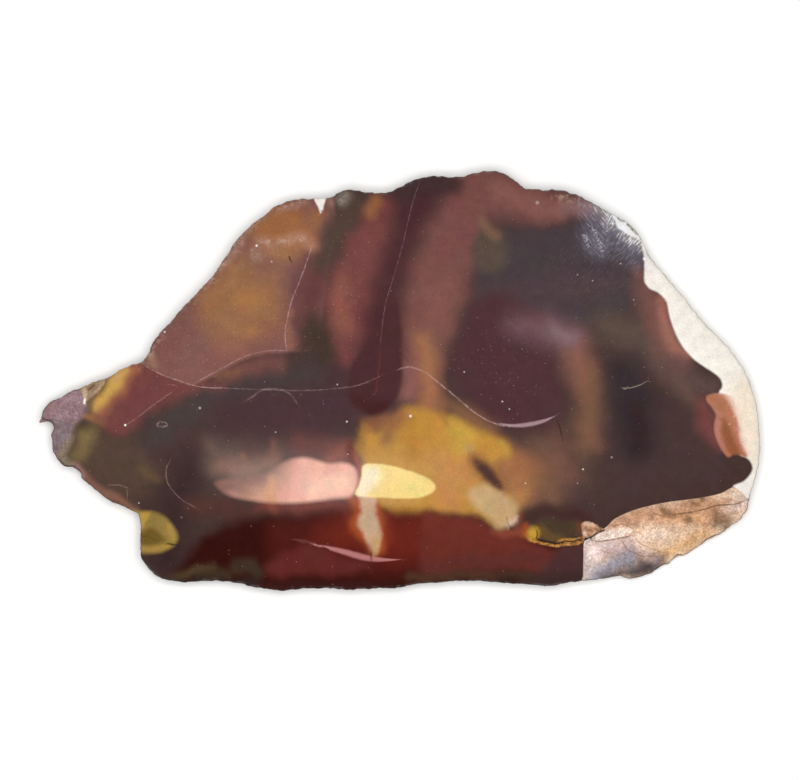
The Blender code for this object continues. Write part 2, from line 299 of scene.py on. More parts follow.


# The stone's tones, and those of the light and shade painted on it, as sRGB channels from 0 to 255.
TONES = {
    "body": (73, 54, 51), "slate": (71, 59, 63), "slate_plum": (80, 62, 66), "slate_green": (73, 61, 60),
    "olive_brown": (88, 69, 59), "plum": (75, 50, 54), "dark_brown": (60, 41, 41),
    "near_black": (55, 44, 48), "column_maroon": (53, 35, 36), "olive_shade": (92, 75, 66),
    "terracotta": (143, 93, 78), "ochre_brown": (126, 87, 67), "mauve": (120, 75, 71),
    "mauve_light": (138, 91, 84), "frosted_mauve": (136, 100, 98), "olive_grey": (89, 74, 64),
    "olive_ochre": (122, 90, 71), "wine": (80, 49, 53), "haze": (118, 86, 92), "pale_haze": (140, 110, 115),
    "brick_rose": (119, 67, 65), "brick_deep": (111, 63, 64), "rose_light": (145, 88, 72),
    "mauve_brown": (130, 87, 81), "ochre": (152, 104, 72), "orange_brown": (158, 104, 66),
    "orange_deep": (160, 112, 80), "lobe_rust": (128, 80, 74), "lobe_gold": (170, 118, 68),
    "dusty_mauve": (134, 94, 78), "plum_rose": (112, 71, 71), "brown_shade": (101, 61, 59),
    "pale_tan": (174, 129, 104), "dusty_pink": (164, 124, 106), "blush_brown": (152, 102, 78),
    "olive": (82, 65, 56), "olive_dark": (68, 53, 46), "rust": (124, 77, 73), "orange_shade": (124, 82, 62),
    "grey_frost": (130, 118, 108), "blush_orange": (172, 112, 78), "band_yellow": (208, 163, 86),
    "khaki_olive": (128, 107, 72), "olive_core": (66, 54, 40), "khaki_brown": (112, 86, 57),
    "flank_tan": (142, 98, 84), "mustard": (194, 140, 57), "ochre_tan": (162, 107, 74),
    "tan_orange": (197, 136, 76), "golden_brown": (184, 129, 47), "bright_yellow": (199, 158, 64),
    "gold_olive": (165, 117, 52), "blush_tan": (195, 127, 84), "khaki_grey": (186, 149, 96),
    "ochre_fade": (150, 102, 70), "brown_fade": (110, 78, 65), "khaki_cream": (199, 165, 117),
    "spot_brown": (80, 50, 46), "spot_halo": (140, 92, 56), "shade_red": (100, 42, 32),
    "glare_veil_grey": (112, 90, 82), "glare_veil_brown": (148, 104, 90), "glare_veil_soft": (100, 73, 67),
    "amber_glare_veil": (148, 98, 76), "lens_glow_red": (142, 80, 66), "lens_glow_brown": (150, 80, 62),
    "base_maroon": (56, 19, 16), "fire_red": (108, 37, 27), "brick_brown": (111, 48, 39),
    "base_plum": (78, 50, 50), "base_wine": (101, 43, 40), "base_olive": (68, 51, 38),
    "base_khaki": (88, 60, 44), "base_umber": (62, 30, 26), "base_dusk": (54, 42, 38),
    "halo_orange": (166, 78, 40), "streak_cream": (202, 166, 132), "tongue": (77, 43, 46),
    "tongue_top": (70, 49, 51), "tongue_tip": (63, 27, 26), "cream_rust": (124, 82, 76),
    "cream_shade": (106, 78, 71), "rust_light": (158, 106, 92), "tip_grey": (92, 71, 67),
    "glow_wine": (118, 67, 64), "cream": (253, 246, 236), "cream_glow": (230, 180, 155),
    "tan_band": (186, 122, 92), "band_orange": (150, 92, 60), "shade_maroon": (70, 44, 42),
    "lens_olive": (76, 60, 44), "lens_gold": (205, 160, 58), "golden_olive": (104, 78, 46),
    "khaki": (150, 123, 66), "khaki_gold": (188, 150, 72), "khaki_core": (110, 86, 37),
    "lens_dusk_highlight": (140, 96, 84), "lens_rose_highlight": (200, 146, 122), "lens_pink_highlight": (232, 170, 151),
    "lens_peach_highlight": (250, 194, 168), "lens_amber_highlight": (210, 150, 100), "lens_yellow_highlight": (246, 213, 130),
    "lens_pale_highlight": (249, 230, 190), "floor_cream": (236, 202, 172), "floor_pink": (205, 157, 124),
    "floor_tan": (224, 178, 130), "floor_lilac": (228, 202, 199), "floor_blue": (158, 152, 162),
    "floor_dark": (86, 72, 72), "floor_ivory": (248, 227, 212), "floor_mauve": (178, 154, 157),
    "stain": (118, 86, 58), "chip_peach": (188, 146, 112), "lilac": (152, 123, 129),
    "blue_grey": (130, 114, 118), "sand": (142, 126, 104), "tip_blush": (160, 124, 124),
    "rind_tan": (188, 157, 118), "vein_pink": (196, 160, 156), "seam_gold": (196, 138, 70),
    "fibre_pale": (170, 158, 138), "crack_dark": (44, 30, 24), "glint": (250, 246, 240),
    "frost": (176, 176, 200), "raw_dust": (150, 132, 120), "rim_shade_line": (50, 40, 36),
    "ochre_dull": (138, 90, 74), "mauve_warm": (131, 85, 74), "ochre_side": (162, 107, 69),
    "ochre_low": (146, 92, 62), "under_brown": (85, 51, 44), "lens_glow_under": (116, 58, 50),
    "base_red": (80, 28, 23), "fire_glow": (132, 50, 33), "brick_dusk": (95, 49, 46),
    "halo_rust": (142, 70, 50), "strip_pink": (186, 122, 106), "tip_olive": (128, 107, 73),
    "tip_shade": (101, 85, 62), "rind_grey": (152, 128, 103), "rind_pale": (204, 178, 148),
    "floor_rose": (178, 134, 112), "floor_slate": (96, 92, 92), "floor_orange": (214, 163, 121),
    "floor_white": (238, 218, 212), "streak_gold": (206, 160, 96), "cream_warm": (252, 229, 200),
    "pale_spot_and_highlight": (236, 202, 184), "streak_shade": (176, 124, 92), "streak": (214, 212, 226),
    "rim_shade_khaki": (170, 150, 118), "chip_shadow": (140, 98, 72), "floor_pearl": (222, 206, 206),
    "glare_veil_wine": (112, 63, 60), "band_red": (190, 114, 92), "rim_highlight_white": (254, 253, 250),
    "olive_edge": (84, 68, 46), "crescent_pink": (214, 144, 142), "crescent_lilac": (194, 162, 168),
    "vein_red": (120, 50, 42), "scuff": (205, 175, 160),
}


class JasperColours(bpy.types.PropertyGroup):
    """The colours of the stone, and of the light and shade painted on it."""

    __annotations__ = {
        name: tone(name.replace("_", " ").capitalize(), *light) for name, light in TONES.items()
    }


# Shared by the body and by the upper left lobe, which meet under it.
COLUMN = (
    dab("brown_shade", 3.6, (322, 262, 11), (314, 290, 14), (308, 318, 12)),
    dab("olive", 3.4, (353, 200, 11), (345, 216, 14), (333, 234, 12), (326, 252, 9), (322, 264, 6)),
    dab("olive_dark", 3.6, (314, 322, 7), (317, 338, 12), (324, 354, 10)),
    dab("olive_core", 3.0, (317, 330, 5), (318, 342, 6), strength=0.5),
)

# Shared by the cream and by the tan band that runs along it.
CREAM_GLOW = (
    dab("cream_warm", 6.0, (742, 392, 10), (750, 420, 10), (752, 452, 9), strength=0.8),
)

STONE = Region("body", "body", 1.0, 0.0, (), (
    # The left end under the brick.
    Cloud("olive_brown", 4.4, Outline((70, 430), (92, 424), (120, 434), (142, 446), (158, 462), (156, 482),
        (140, 498), (116, 500), (92, 484), (72, 464))),
    dab("slate_green", 4.0, (152, 438, 8), (182, 414, 13), (216, 400, 13), (252, 386, 12), (290, 378, 11),
        (322, 374, 8)),
    dab("dark_brown", 6.0, (190, 472, 16), (176, 506, 14), (168, 560, 14)),
    Cloud("brick_rose", 3.0, Outline((116, 366), (145, 360), (170, 372), (196, 380), (226, 386), (196, 392),
        (166, 403), (149, 414), (137, 425), (126, 432), (112, 429), (98, 421), (96, 408), (106, 392))),
    dab("brick_deep", 3.0, (124, 412, 10), (144, 396, 9), (176, 384, 6), strength=0.7),
    dab("blush_orange", 2.4, (134, 367, 5), (125, 380, 5), (115, 394, 4.5), (105, 406, 4), (97, 415, 4),
        strength=0.9),
    dab("ochre_fade", 1.0, (84, 416, 3), (94, 419, 4), (103, 423, 3)),
    dab("brick_rose", 1.6, (98, 420, 3), (112, 427, 4), (124, 431, 3), strength=0.8),
    dab("band_yellow", 1.4, (123, 370, 7), (113, 384, 6), (106, 395, 5), (100, 403, 4.5), (95, 410, 3)),
    dab("khaki_olive", 2.4, (78, 456, 7), (85, 440, 8), (93, 432, 5)),
    dab("olive_core", 1.8, (80, 428, 3), (96, 430, 3), strength=0.35),
    dab("khaki_olive", 1.0, (91, 402, 3), (88, 410, 2.5), strength=0.8),
    dab("khaki_brown", 1.8, (138, 467, 2.5), (149, 473, 3.5), (158, 480, 2), strength=0.65),
    dab("flank_tan", 1.2, (76, 467, 4), (90, 481, 4), (105, 494, 4.5), (122, 503, 4), (136, 510, 3.5),
        strength=0.9),
    # The middle, from the brown veil of painted reflection to the plum round the lens.
    dab("plum", 6.0, (230, 412, 16), (290, 414, 24), (340, 412, 22)),
    # Painted reflection haze round the lens highlight, in grey, brown and wine veils.
    dab("glare_veil_soft", 5.0, (240, 450, 8), (270, 450, 9), (300, 454, 9), (330, 454, 8), strength=0.75),
    dab("glare_veil_grey", 4.6, (214, 446, 8), (220, 460, 14), (242, 472, 12), strength=0.85),
    dab("glare_veil_brown", 3.4, (222, 467, 6), (236, 470, 8), (262, 464, 6), (276, 460, 4), strength=0.8),
    dab("glare_veil_wine", 4.0, (300, 446, 9), (326, 447, 9), (342, 450, 6), strength=0.85),
    dab("ochre_fade", 1.0, (243, 457, 2.5), strength=0.6),
    dab("amber_glare_veil", 1.6, (273, 440, 2), (273, 470, 4), strength=0.45),
    dab("under_brown", 4.0, (196, 505, 8), (224, 508, 8), (250, 510, 7)),
    # Painted glow round the lens highlight, along its lower edge and above its right end.
    dab("lens_glow_under", 2.6, (262, 507, 5), (300, 507, 8), (342, 505, 6)),
    dab("lens_glow_brown", 1.6, (271, 504, 4), (272, 511, 3), strength=0.7),
    dab("lens_glow_red", 3.0, (328, 461, 6), (342, 453, 8), (350, 446, 3), strength=0.9),
    # The crest and the slate under it.
    Cloud("mauve", 5.0, Stroke((482, 188, 26), (530, 204, 19), (580, 206, 10)), Stroke((470, 205, 26),
        (452, 238, 30), (439, 278, 32), (428, 312, 30), (420, 350, 24), (412, 384, 16))),
    dab("mauve_light", 4.0, (500, 186, 8), (530, 206, 10), (556, 208, 9), strength=0.9),
    dab("mauve_warm", 6.0, (440, 292, 14), (434, 330, 16), strength=0.8),
    dab("ochre_tan", 3.8, (422, 344, 8), (428, 366, 11), (430, 404, 11)),
    dab("mauve_light", 3.0, (408, 372, 6), (408, 394, 7)),
    Cloud("slate", 2.6, Outline((488, 226), (500, 229), (520, 231), (545, 229), (575, 223), (602, 214),
        (625, 230), (640, 250), (640, 290), (626, 312), (600, 322), (570, 322), (540, 312), (500, 300),
        (480, 304), (475, 280), (478, 250), (482, 236))),
    dab("slate_plum", 5.0, (500, 292, 10), (560, 290, 14), (616, 280, 10)),
    dab("olive_grey", 2.6, (489, 242, 14), (491, 256, 17)),
    dab("olive_ochre", 1.8, (494, 233, 5), (483, 223, 4)),
    dab("frosted_mauve", 3.2, (566, 208, 7), (590, 206, 7), strength=0.85),
    # The wine-coloured mass and the streaks to its right.
    Cloud("wine", 3.0, Outline((476, 298), (466, 316), (456, 336), (452, 356), (454, 380), (464, 400),
        (482, 416), (508, 430), (532, 434), (552, 430), (564, 412), (562, 385), (556, 355), (546, 326),
        (528, 306), (502, 294))),
    dab("terracotta", 5.4, (576, 344, 9), (578, 362, 12), (586, 388, 9)),
    dab("ochre_brown", 5.0, (592, 372, 7), (590, 404, 11), (588, 440, 13)),
    # Painted glare: a pale haze of reflected light on the polish.
    dab("haze", 6.0, (516, 324, 8), (544, 330, 14), (568, 334, 12), strength=0.9),
    dab("pale_haze", 3.0, (556, 330, 7), (570, 338, 6), strength=0.7),
    dab("olive_shade", 6.0, (606, 324, 12), (634, 334, 16), (652, 348, 12)),
    dab("near_black", 5.4, (622, 376, 16), (632, 402, 24), (636, 442, 20)),
    dab("column_maroon", 3.0, (636, 408, 6), (641, 448, 7), strength=0.8),
    # The rose and olive columns left of the tongue.
    dab("brick_rose", 4.6, (382, 212, 16), (368, 246, 24), (356, 286, 28), (350, 322, 26), (350, 352, 16)),
    dab("rose_light", 4.6, (339, 290, 9), (343, 322, 8), strength=0.9),
    dab("plum", 3.0, (338, 374, 10), (334, 396, 9)),
    *COLUMN,
    dab("orange_brown", 2.2, (375, 203, 6), (371, 212, 6), strength=0.8),
    dab("rust", 3.4, (226, 373, 6), (254, 366, 8), (280, 362, 6), strength=0.85),
    dab("orange_shade", 2.0, (218, 377, 3), (237, 371, 3)),
    dab("grey_frost", 2.0, (344, 197, 7), strength=0.8),
    # The mustard middle.
    dab("brown_fade", 7.0, (556, 452, 18), (562, 470, 20), (550, 494, 12)),
    dab("ochre_brown", 7.0, (534, 456, 10), (546, 470, 13), (544, 490, 10)),
    Cloud("ochre_side", 4.0, Outline((498, 442), (516, 450), (530, 458), (537, 472), (536, 488), (528, 502),
        (512, 510), (500, 492), (496, 466))),
    dab("ochre_fade", 3.6, (446, 404, 4), (462, 413, 6), (478, 421, 7), (492, 430, 5), strength=0.75),
    Cloud("mustard", 2.2, Outline((361, 434), (368, 429), (380, 427), (390, 420), (399, 412.5), (410, 408),
        (424, 409), (439, 412), (451, 418), (465, 424), (481, 429), (496, 437), (508, 447), (508, 456),
        (500, 462), (497, 470), (500, 480), (506, 490), (514, 500), (513, 511), (500, 525), (484, 521),
        (467, 514), (444, 512), (422, 515.5), (404, 515), (388, 512.5), (376, 511), (364, 500), (364, 480),
        (364, 462), (361, 452), (361, 442))),
    dab("ochre_low", 3.4, (374, 424, 7), (398, 420, 8), (386, 438, 6)),
    dab("shade_red", 1.2, (351, 442, 1.5), (351, 452, 3.5), (354, 464, 4), (359, 474, 2.5)),
    dab("golden_brown", 4.0, (412, 432, 10), (412, 448, 10), strength=0.8),
    dab("tan_orange", 4.6, (440, 462, 10), (452, 478, 14), (448, 498, 12)),
    dab("bright_yellow", 3.4, (452, 430, 8), (464, 438, 11), (460, 450, 7)),
    dab("gold_olive", 1.8, (366, 428, 3.5), (362, 436, 4.5), (361, 448, 5), strength=0.9),
    dab("golden_brown", 1.8, (412, 424, 3), (414, 440, 4), (411, 456, 4), strength=0.8),
    dab("gold_olive", 1.2, (443, 411, 1.5), (446, 424, 3), strength=0.8),
    dab("bright_yellow", 1.2, (500, 444, 3), (505, 450, 2.5), strength=0.6),
    # Painted glow where the pink and yellow parts of the lens highlight meet.
    dab("lens_glow_brown", 0.9, (356, 456, 2.5), (361, 468, 3.5), (359, 484, 3.5)),
    dab("tan_orange", 2.0, (521, 494, 4), (520, 506, 4), strength=0.5),
    dab("halo_rust", 1.4, (521, 516, 3), (517, 526, 3), strength=0.7),
    dab("streak_gold", 1.8, (384, 503, 3), (402, 502, 3), (420, 500, 2), strength=0.5),
    dab("blush_tan", 2.6, (466, 462, 6), (470, 480, 6), strength=0.6),
    dab("khaki_grey", 1.8, (470, 448, 4), strength=0.8),
    dab("spot_halo", 2.2, (477, 460, 7), (488, 474, 10), (501, 488, 6)),
    Cloud("khaki_cream", 1.8, Outline((472, 489), (481, 485), (494, 488), (508, 496), (518, 505), (516, 514),
        (509, 524), (500, 528), (489, 519), (476, 510), (470, 498))),
    # A painted highlight: a small pale patch of reflected light.
    dab("pale_spot_and_highlight", 1.0, (508, 524, 1.4), (511.5, 520, 2.4), (515.5, 516, 1.4), strength=0.8),
    # The dark base.
    Cloud("base_maroon", 2.8, Outline((182, 562), (196, 544), (210, 534), (228, 524), (250, 518), (275, 516),
        (305, 516), (330, 515), (352, 513), (370, 516), (384, 514.5), (424, 516.5), (468, 517), (486, 527),
        (500, 535), (583, 549), (590, 600), (380, 610), (160, 600), (174, 582))),
    dab("base_dusk", 1.2, (168, 548, 6), (172, 560, 7), strength=0.25),
    Cloud("base_red", 4.0, Outline((276, 520), (310, 518), (352, 516), (424, 518), (430, 572), (340, 574),
        (284, 570), (266, 546))),
    Cloud("fire_red", 5.0, Outline((332, 522), (352, 514), (384, 515), (424, 517), (438, 530), (434, 556),
        (400, 562), (352, 552), (316, 545), (318, 532))),
    Cloud("fire_glow", 2.4, Stroke((351, 512, 3), (351, 530, 4)), Stroke((385, 516, 3), (390, 538, 4)),
        strength=0.8),
    Cloud("brick_brown", 1.9, Outline((424, 516), (447, 514.5), (467, 516.5), (484, 524.5), (499, 534),
        (514, 531), (530, 543), (560, 550), (596, 552), (596, 576), (540, 574), (500, 568), (460, 571),
        (424, 571), (421, 543))),
    dab("halo_rust", 1.6, (494, 531, 2), (508, 533, 4), (522, 532, 3)),
    dab("brick_dusk", 3.2, (424, 566, 5), (446, 564, 5), (480, 562, 7), (540, 558, 8), strength=0.85),
    Cloud("base_plum", 2.4, Outline((558, 549), (575, 545), (592, 544), (592, 588), (524, 588), (534, 572),
        (548, 562))),
    Cloud("base_wine", 2.4, Outline((266, 574), (274, 560), (290, 550), (316, 547), (345, 558), (372, 567),
        (352, 573), (300, 576))),
    Cloud("base_olive", 1.6, Stroke((236, 566, 7), (250, 567, 8), (256, 573, 6)), Stroke((200, 576, 5),
        (226, 573, 6))),
    dab("olive_edge", 1.4, (168, 580, 3), (182, 576, 4.5), (196, 571, 4), (212, 567, 3), strength=0.85),
    dab("base_dusk", 2.4, (150, 584, 4), (200, 584, 4), (255, 584, 5)),
    dab("base_khaki", 1.8, (410, 579, 4), (445, 576, 5), (490, 574, 4), (530, 577, 4), strength=0.8),
    dab("base_dusk", 2.6, (500, 581, 5), (545, 580, 6), (580, 579, 6), strength=0.6),
    dab("base_umber", 1.8, (262, 586, 4), (330, 587, 5), (390, 585, 4)),
    Cloud("halo_orange", 1.5, Outline((348, 496), (351, 505), (355, 512), (351, 522), (354, 532), (360, 541),
        (366, 549), (371, 557), (379, 556), (384, 547), (385, 532), (383, 518), (380, 511), (377, 502),
        (370, 494))),
    # The shade and the olive lens at the base's right end.
    Cloud("shade_maroon", 2.0, Outline((522, 522), (530, 511), (545, 505), (562, 505), (580, 510),
        (592, 520), (583, 527), (560, 521), (540, 520), (530, 528))),
    Cloud("lens_olive", 1.3, Outline((531, 528), (538, 522), (550, 519), (566, 520), (582, 524), (584, 538),
        (565, 541.5), (545, 540.5), (534, 538))),
    dab("halo_rust", 1.2, (580, 526, 2), (581, 535, 2), strength=0.4),
    dab("halo_orange", 1.2, (524, 528, 3.5), (524, 535, 3.5), strength=0.9),
    dab("golden_olive", 1.1, (541, 530, 6), (549, 535, 4), (562, 538.5, 2.5)),
    Cloud("lens_gold", 1.2, Outline((526.5, 533.5), (529.5, 530), (535, 528.5), (537, 531), (537, 539.5),
        (532, 541), (527.5, 538))),
    # The right side, against the cream.
    dab("cream_rust", 4.0, (640, 272, 5), (643, 286, 8), (651, 303, 11), (658, 325, 12), (666, 345, 11),
        (682, 362, 7), strength=0.95),
    dab("rust_light", 2.0, (662, 302, 5), (665, 324, 6), (675, 346, 5), (688, 358, 3)),
    dab("cream_shade", 4.4, (658, 356, 7), (674, 374, 11), (690, 394, 9), strength=0.9),
    dab("tip_grey", 2.6, (694, 378, 8), (712, 386, 8), strength=0.9),
    dab("glow_wine", 2.8, (703, 404, 6), (707, 424, 9), (716, 444, 5)),
    # The soft upper part of the tongue.
    dab("tongue", 5.0, (424, 190, 14), (412, 215, 16), (402, 240, 14), (393, 265, 14), (385, 295, 16),
        (381, 325, 18), (376, 372, 22)),
    dab("tongue_top", 3.4, (402, 194, 8), (422, 187, 11), (452, 184, 8)),
))
SPOT = Region("spot", "spot_brown", 1.3, 0.25, (Outline(
    (475, 461), (479, 460), (486, 464), (493, 471), (499, 480), (503, 488), (500, 490), (494, 487),
    (486, 480), (479, 472), (475, 466)),))
TONGUE = Region("tongue", "tongue", 1.0, 0.15, (Outline(
    (384, 300), (372, 330), (362, 350), (352, 366), (348, 388), (351, 402), (359, 411), (371, 415.5),
    (384, 411), (395, 401), (400, 389), (402, 370), (402, 345), (400, 318), (394, 300)),), (
    dab("tongue_tip", 3.0, (357, 402, 4), (371, 409, 5), (385, 404, 4), strength=0.9),
))
LOBE = Region("lobe", "mauve_brown", 0.7, 0.1, (Outline(
    (143, 363), (150, 350), (161, 330), (178, 310), (199, 287), (215, 270), (232, 245), (247, 226),
    (262, 212), (279, 200), (303, 193), (330, 193), (336, 215), (332, 245), (328, 270), (324, 300),
    (320, 330), (310, 350), (288, 352.5), (262, 354.5), (240, 361.5), (215, 375), (192, 385.5),
    (168, 376.5)),), (
    Cloud("ochre", 5.5, Outline((198, 296), (216, 272), (238, 258), (262, 262), (280, 276), (284, 300),
        (280, 326), (256, 342), (226, 342), (204, 326))),
    dab("orange_deep", 3.6, (206, 296, 6), (228, 280, 8), (240, 266, 7), strength=0.8),
    dab("orange_brown", 4.0, (262, 230, 14), (286, 226, 22), (304, 244, 14)),
    dab("lobe_gold", 3.6, (240, 300, 7), (254, 300, 9), strength=0.9),
    dab("lobe_gold", 2.8, (270, 250, 6), (288, 256, 6), strength=0.6),
    dab("dusty_mauve", 3.6, (248, 258, 7), (262, 270, 8), strength=0.8),
    dab("ochre_dull", 3.0, (268, 330, 7), (278, 334, 6), strength=0.7),
    dab("lobe_gold", 2.2, (250, 330, 4), strength=0.5),
    dab("plum_rose", 3.8, (312, 258, 7), (298, 284, 11), (296, 308, 11), (300, 332, 7)),
    *COLUMN,
    dab("orange_brown", 2.4, (317, 214, 5), (316, 228, 4), strength=0.8),
    dab("olive_dark", 2.6, (308, 332, 6), (304, 348, 7), (296, 352, 3), strength=0.9),
    dab("pale_tan", 2.2, (262, 241, 5), (274, 243, 5), (286, 239, 4), strength=0.7),
    dab("pale_tan", 2.2, (292, 239, 5), (302, 240, 6), (310, 246, 5), strength=0.7),
    dab("dusty_pink", 2.0, (257, 255, 7), strength=0.6),
    dab("blush_brown", 4.0, (218, 352, 9), (240, 350, 10), strength=0.5),
    dab("blush_brown", 1.4, (290, 312, 2), (288, 344, 2.5), strength=0.8),
    dab("lobe_rust", 2.6, (206, 370, 4), (238, 356, 5), (270, 348, 4), strength=0.5),
    Cloud("dusty_pink", 1.5, Stroke((262, 217, 3), (270, 210, 3)), Stroke((284, 207, 3), (293, 205, 3)),
        Stroke((304, 202, 3)), Stroke((244, 236, 3), (232, 254, 4), (222, 268, 3)), Stroke((150, 356, 4),
        (152, 365, 4)), Stroke((332, 203, 3)), strength=0.7),
))
NOTCH = Region("notch", "cream", 0.35, 0.05, (Outline(
    (313, 192), (328, 192), (325.5, 200), (323.5, 207), (321.5, 215), (318.5, 208), (314.5, 200)),))
KHAKI_LOBE = Region("khaki_lobe", "khaki", 0.9, 0.12, (Outline(
    (130, 513), (138, 512), (147, 511.2), (155, 512.2), (162, 515.5), (168, 520), (173, 526), (176.8, 533),
    (178, 539), (175, 544.7), (167, 550.3), (157, 553.4), (142, 553.6), (130, 553.6)),), (
    Cloud("khaki_gold", 0.4, Outline((133, 508), (149, 511), (149.5, 516), (147, 522), (141, 528),
        (133, 530))),
    Cloud("khaki_core", 1.0, Outline((136, 533), (142, 530), (150, 529), (158, 533), (164, 541),
        (158, 545.5), (148, 545), (136, 542)), strength=0.9),
    Cloud("khaki_gold", 0.9, Stroke((143, 550, 2.5), (158, 549.5, 2.5), (166, 546, 2)), Stroke((170, 528, 3),
        (173, 537, 3)), strength=0.6),
))
CREAM_STREAK = Region("cream_streak", "streak_cream", 1.1, 0.25, (Outline(
    (358, 490), (359, 499), (360.5, 506), (361.5, 511), (358.5, 517), (357, 524), (360.5, 531), (364.5, 537),
    (368, 543), (371, 550), (374, 556), (377, 554), (379.5, 548), (380.5, 541), (380, 530), (378.5, 521),
    (376, 513), (376, 504), (378, 490)),), (
    dab("streak_gold", 1.6, (376, 543, 4), (377, 551, 4), strength=0.8),
    dab("streak_shade", 1.6, (368, 549, 2), (371, 555, 2), strength=0.8),
))
CREAM = Region("cream", "cream", 0.45, 0.05, (Outline(
    (639.5, 234), (641.5, 243), (643, 252), (644.2, 260), (644.5, 268), (644.5, 280), (647.5, 286.5),
    (651.5, 289.5), (657.6, 292), (663.2, 297), (667, 302.7), (668.7, 312.7), (671, 321.6), (674.6, 330.6),
    (679, 340.4), (685, 349.4), (693, 358.4), (703, 365.7), (713, 372.4), (719.5, 378), (722, 383),
    (722, 388), (719, 392), (720, 398), (724, 405), (727, 415), (728, 430), (731, 442), (736, 450),
    (741, 455.5), (746, 457.5), (751, 462.5), (752.5, 469), (749, 476), (743, 481.5), (733, 486.5),
    (741, 493), (752, 500), (790, 500), (790, 220), (650, 240)),), (
    *CREAM_GLOW,
))
# A chip on the rim, painted white as a blown-out highlight.
RIM_CHIP_HIGHLIGHT = Region("rim_chip", "rim_highlight_white", 0.4, 0.3, (Outline(
    (613, 212), (624, 212), (634, 221), (643, 236), (635, 238), (627, 233.5), (619, 229.5), (615, 223.5)),))
TAN_BAND = Region("tan_band", "cream", 0.5, 0.05, (Outline(
    (706, 397), (710, 394.5), (716, 393.5), (722, 393.5), (731, 396), (742, 404), (749, 420), (751, 440),
    (749, 453), (746, 457.5), (741, 455.5), (734, 454.5), (728, 457), (722.5, 451), (718.5, 444),
    (715.5, 436), (714, 428), (715, 420), (716, 415), (711.5, 407), (707, 401)),), (
    *CREAM_GLOW,
    dab("cream_glow", 1.8, (724, 397, 6), (732, 410, 6), (735, 430, 6), (741, 450, 6), strength=0.8),
    dab("band_red", 0.7, (731, 420, 5.5), (735, 436, 5), (739, 446, 5), (742, 455, 5)),
    Cloud("tan_band", 0.9, Outline((700, 394), (712, 390), (720, 391), (726, 399), (731, 406), (734.5, 415),
        (735.5, 427), (737.5, 437), (741, 446), (744, 458), (726, 462), (708, 440), (704, 415))),
    dab("blush_orange", 1.4, (711, 397, 5), (718, 403, 5), (722, 410, 3), strength=0.8),
    dab("band_orange", 1.2, (722, 421, 2), (726, 432, 5.5), (732, 446, 7), (736, 454, 5)),
    dab("strip_pink", 0.6, (708, 401, 1.2), (713, 408, 1.4), (717.5, 415, 2), (716.5, 428, 2.6),
        (718.5, 439, 2.4), (723, 448, 1.6), strength=0.9),
))
# The lens: a painted highlight, the lamp's reflection painted into the stone's colour in pink and yellow;
# the lamp's real reflection lies inside it.
LENS_PINK_HIGHLIGHT = Region("lens_pink_highlight", "lens_pink_highlight", 1.0, 0.05, (Outline(
    (215, 483), (224, 479), (240, 478), (258, 475), (270, 470), (280, 463), (292, 459), (306, 457.8),
    (319, 461), (329, 463.6), (342, 462.6), (351, 464.8), (356, 470), (357.5, 479), (355.5, 489),
    (350, 496.5), (335, 498.5), (315, 501), (290, 503), (270, 502.5), (250, 500), (232, 496),
    (221, 490.5)),), (
    dab("lens_peach_highlight", 3.0, (314, 489, 8), (344, 485, 9)),
    dab("lens_rose_highlight", 4.0, (252, 492, 12), (274, 484, 13), (288, 468, 8)),
    dab("lens_dusk_highlight", 3.4, (206, 484, 16), (226, 484, 15), (240, 482, 12), (254, 476, 12), (268, 468, 12),
        (280, 460, 8)),
    dab("lens_amber_highlight", 1.8, (272, 478, 2), (271, 492, 4), (271, 504, 6), strength=0.7),
))
# The yellow part of the painted lens highlight.
LENS_YELLOW_HIGHLIGHT = Region("lens_yellow_highlight", "lens_yellow_highlight", 0.5, 0.05, (Outline(
    (355, 495), (359, 485), (361.5, 475), (363, 465), (376, 463.8), (392, 466), (408, 470.5), (422, 475.5),
    (431, 480.5), (435.5, 486), (433, 492), (424, 496.5), (410, 498.5), (385, 498), (366, 497)),), (
    dab("lens_pale_highlight", 2.0, (370, 472, 8), (366, 486, 8), (362, 494, 5)),
))
REGIONS = (STONE, SPOT, TONGUE, LOBE, NOTCH, KHAKI_LOBE, CREAM_STREAK, CREAM, RIM_CHIP_HIGHLIGHT, TAN_BAND, LENS_PINK_HIGHLIGHT,
    LENS_YELLOW_HIGHLIGHT)

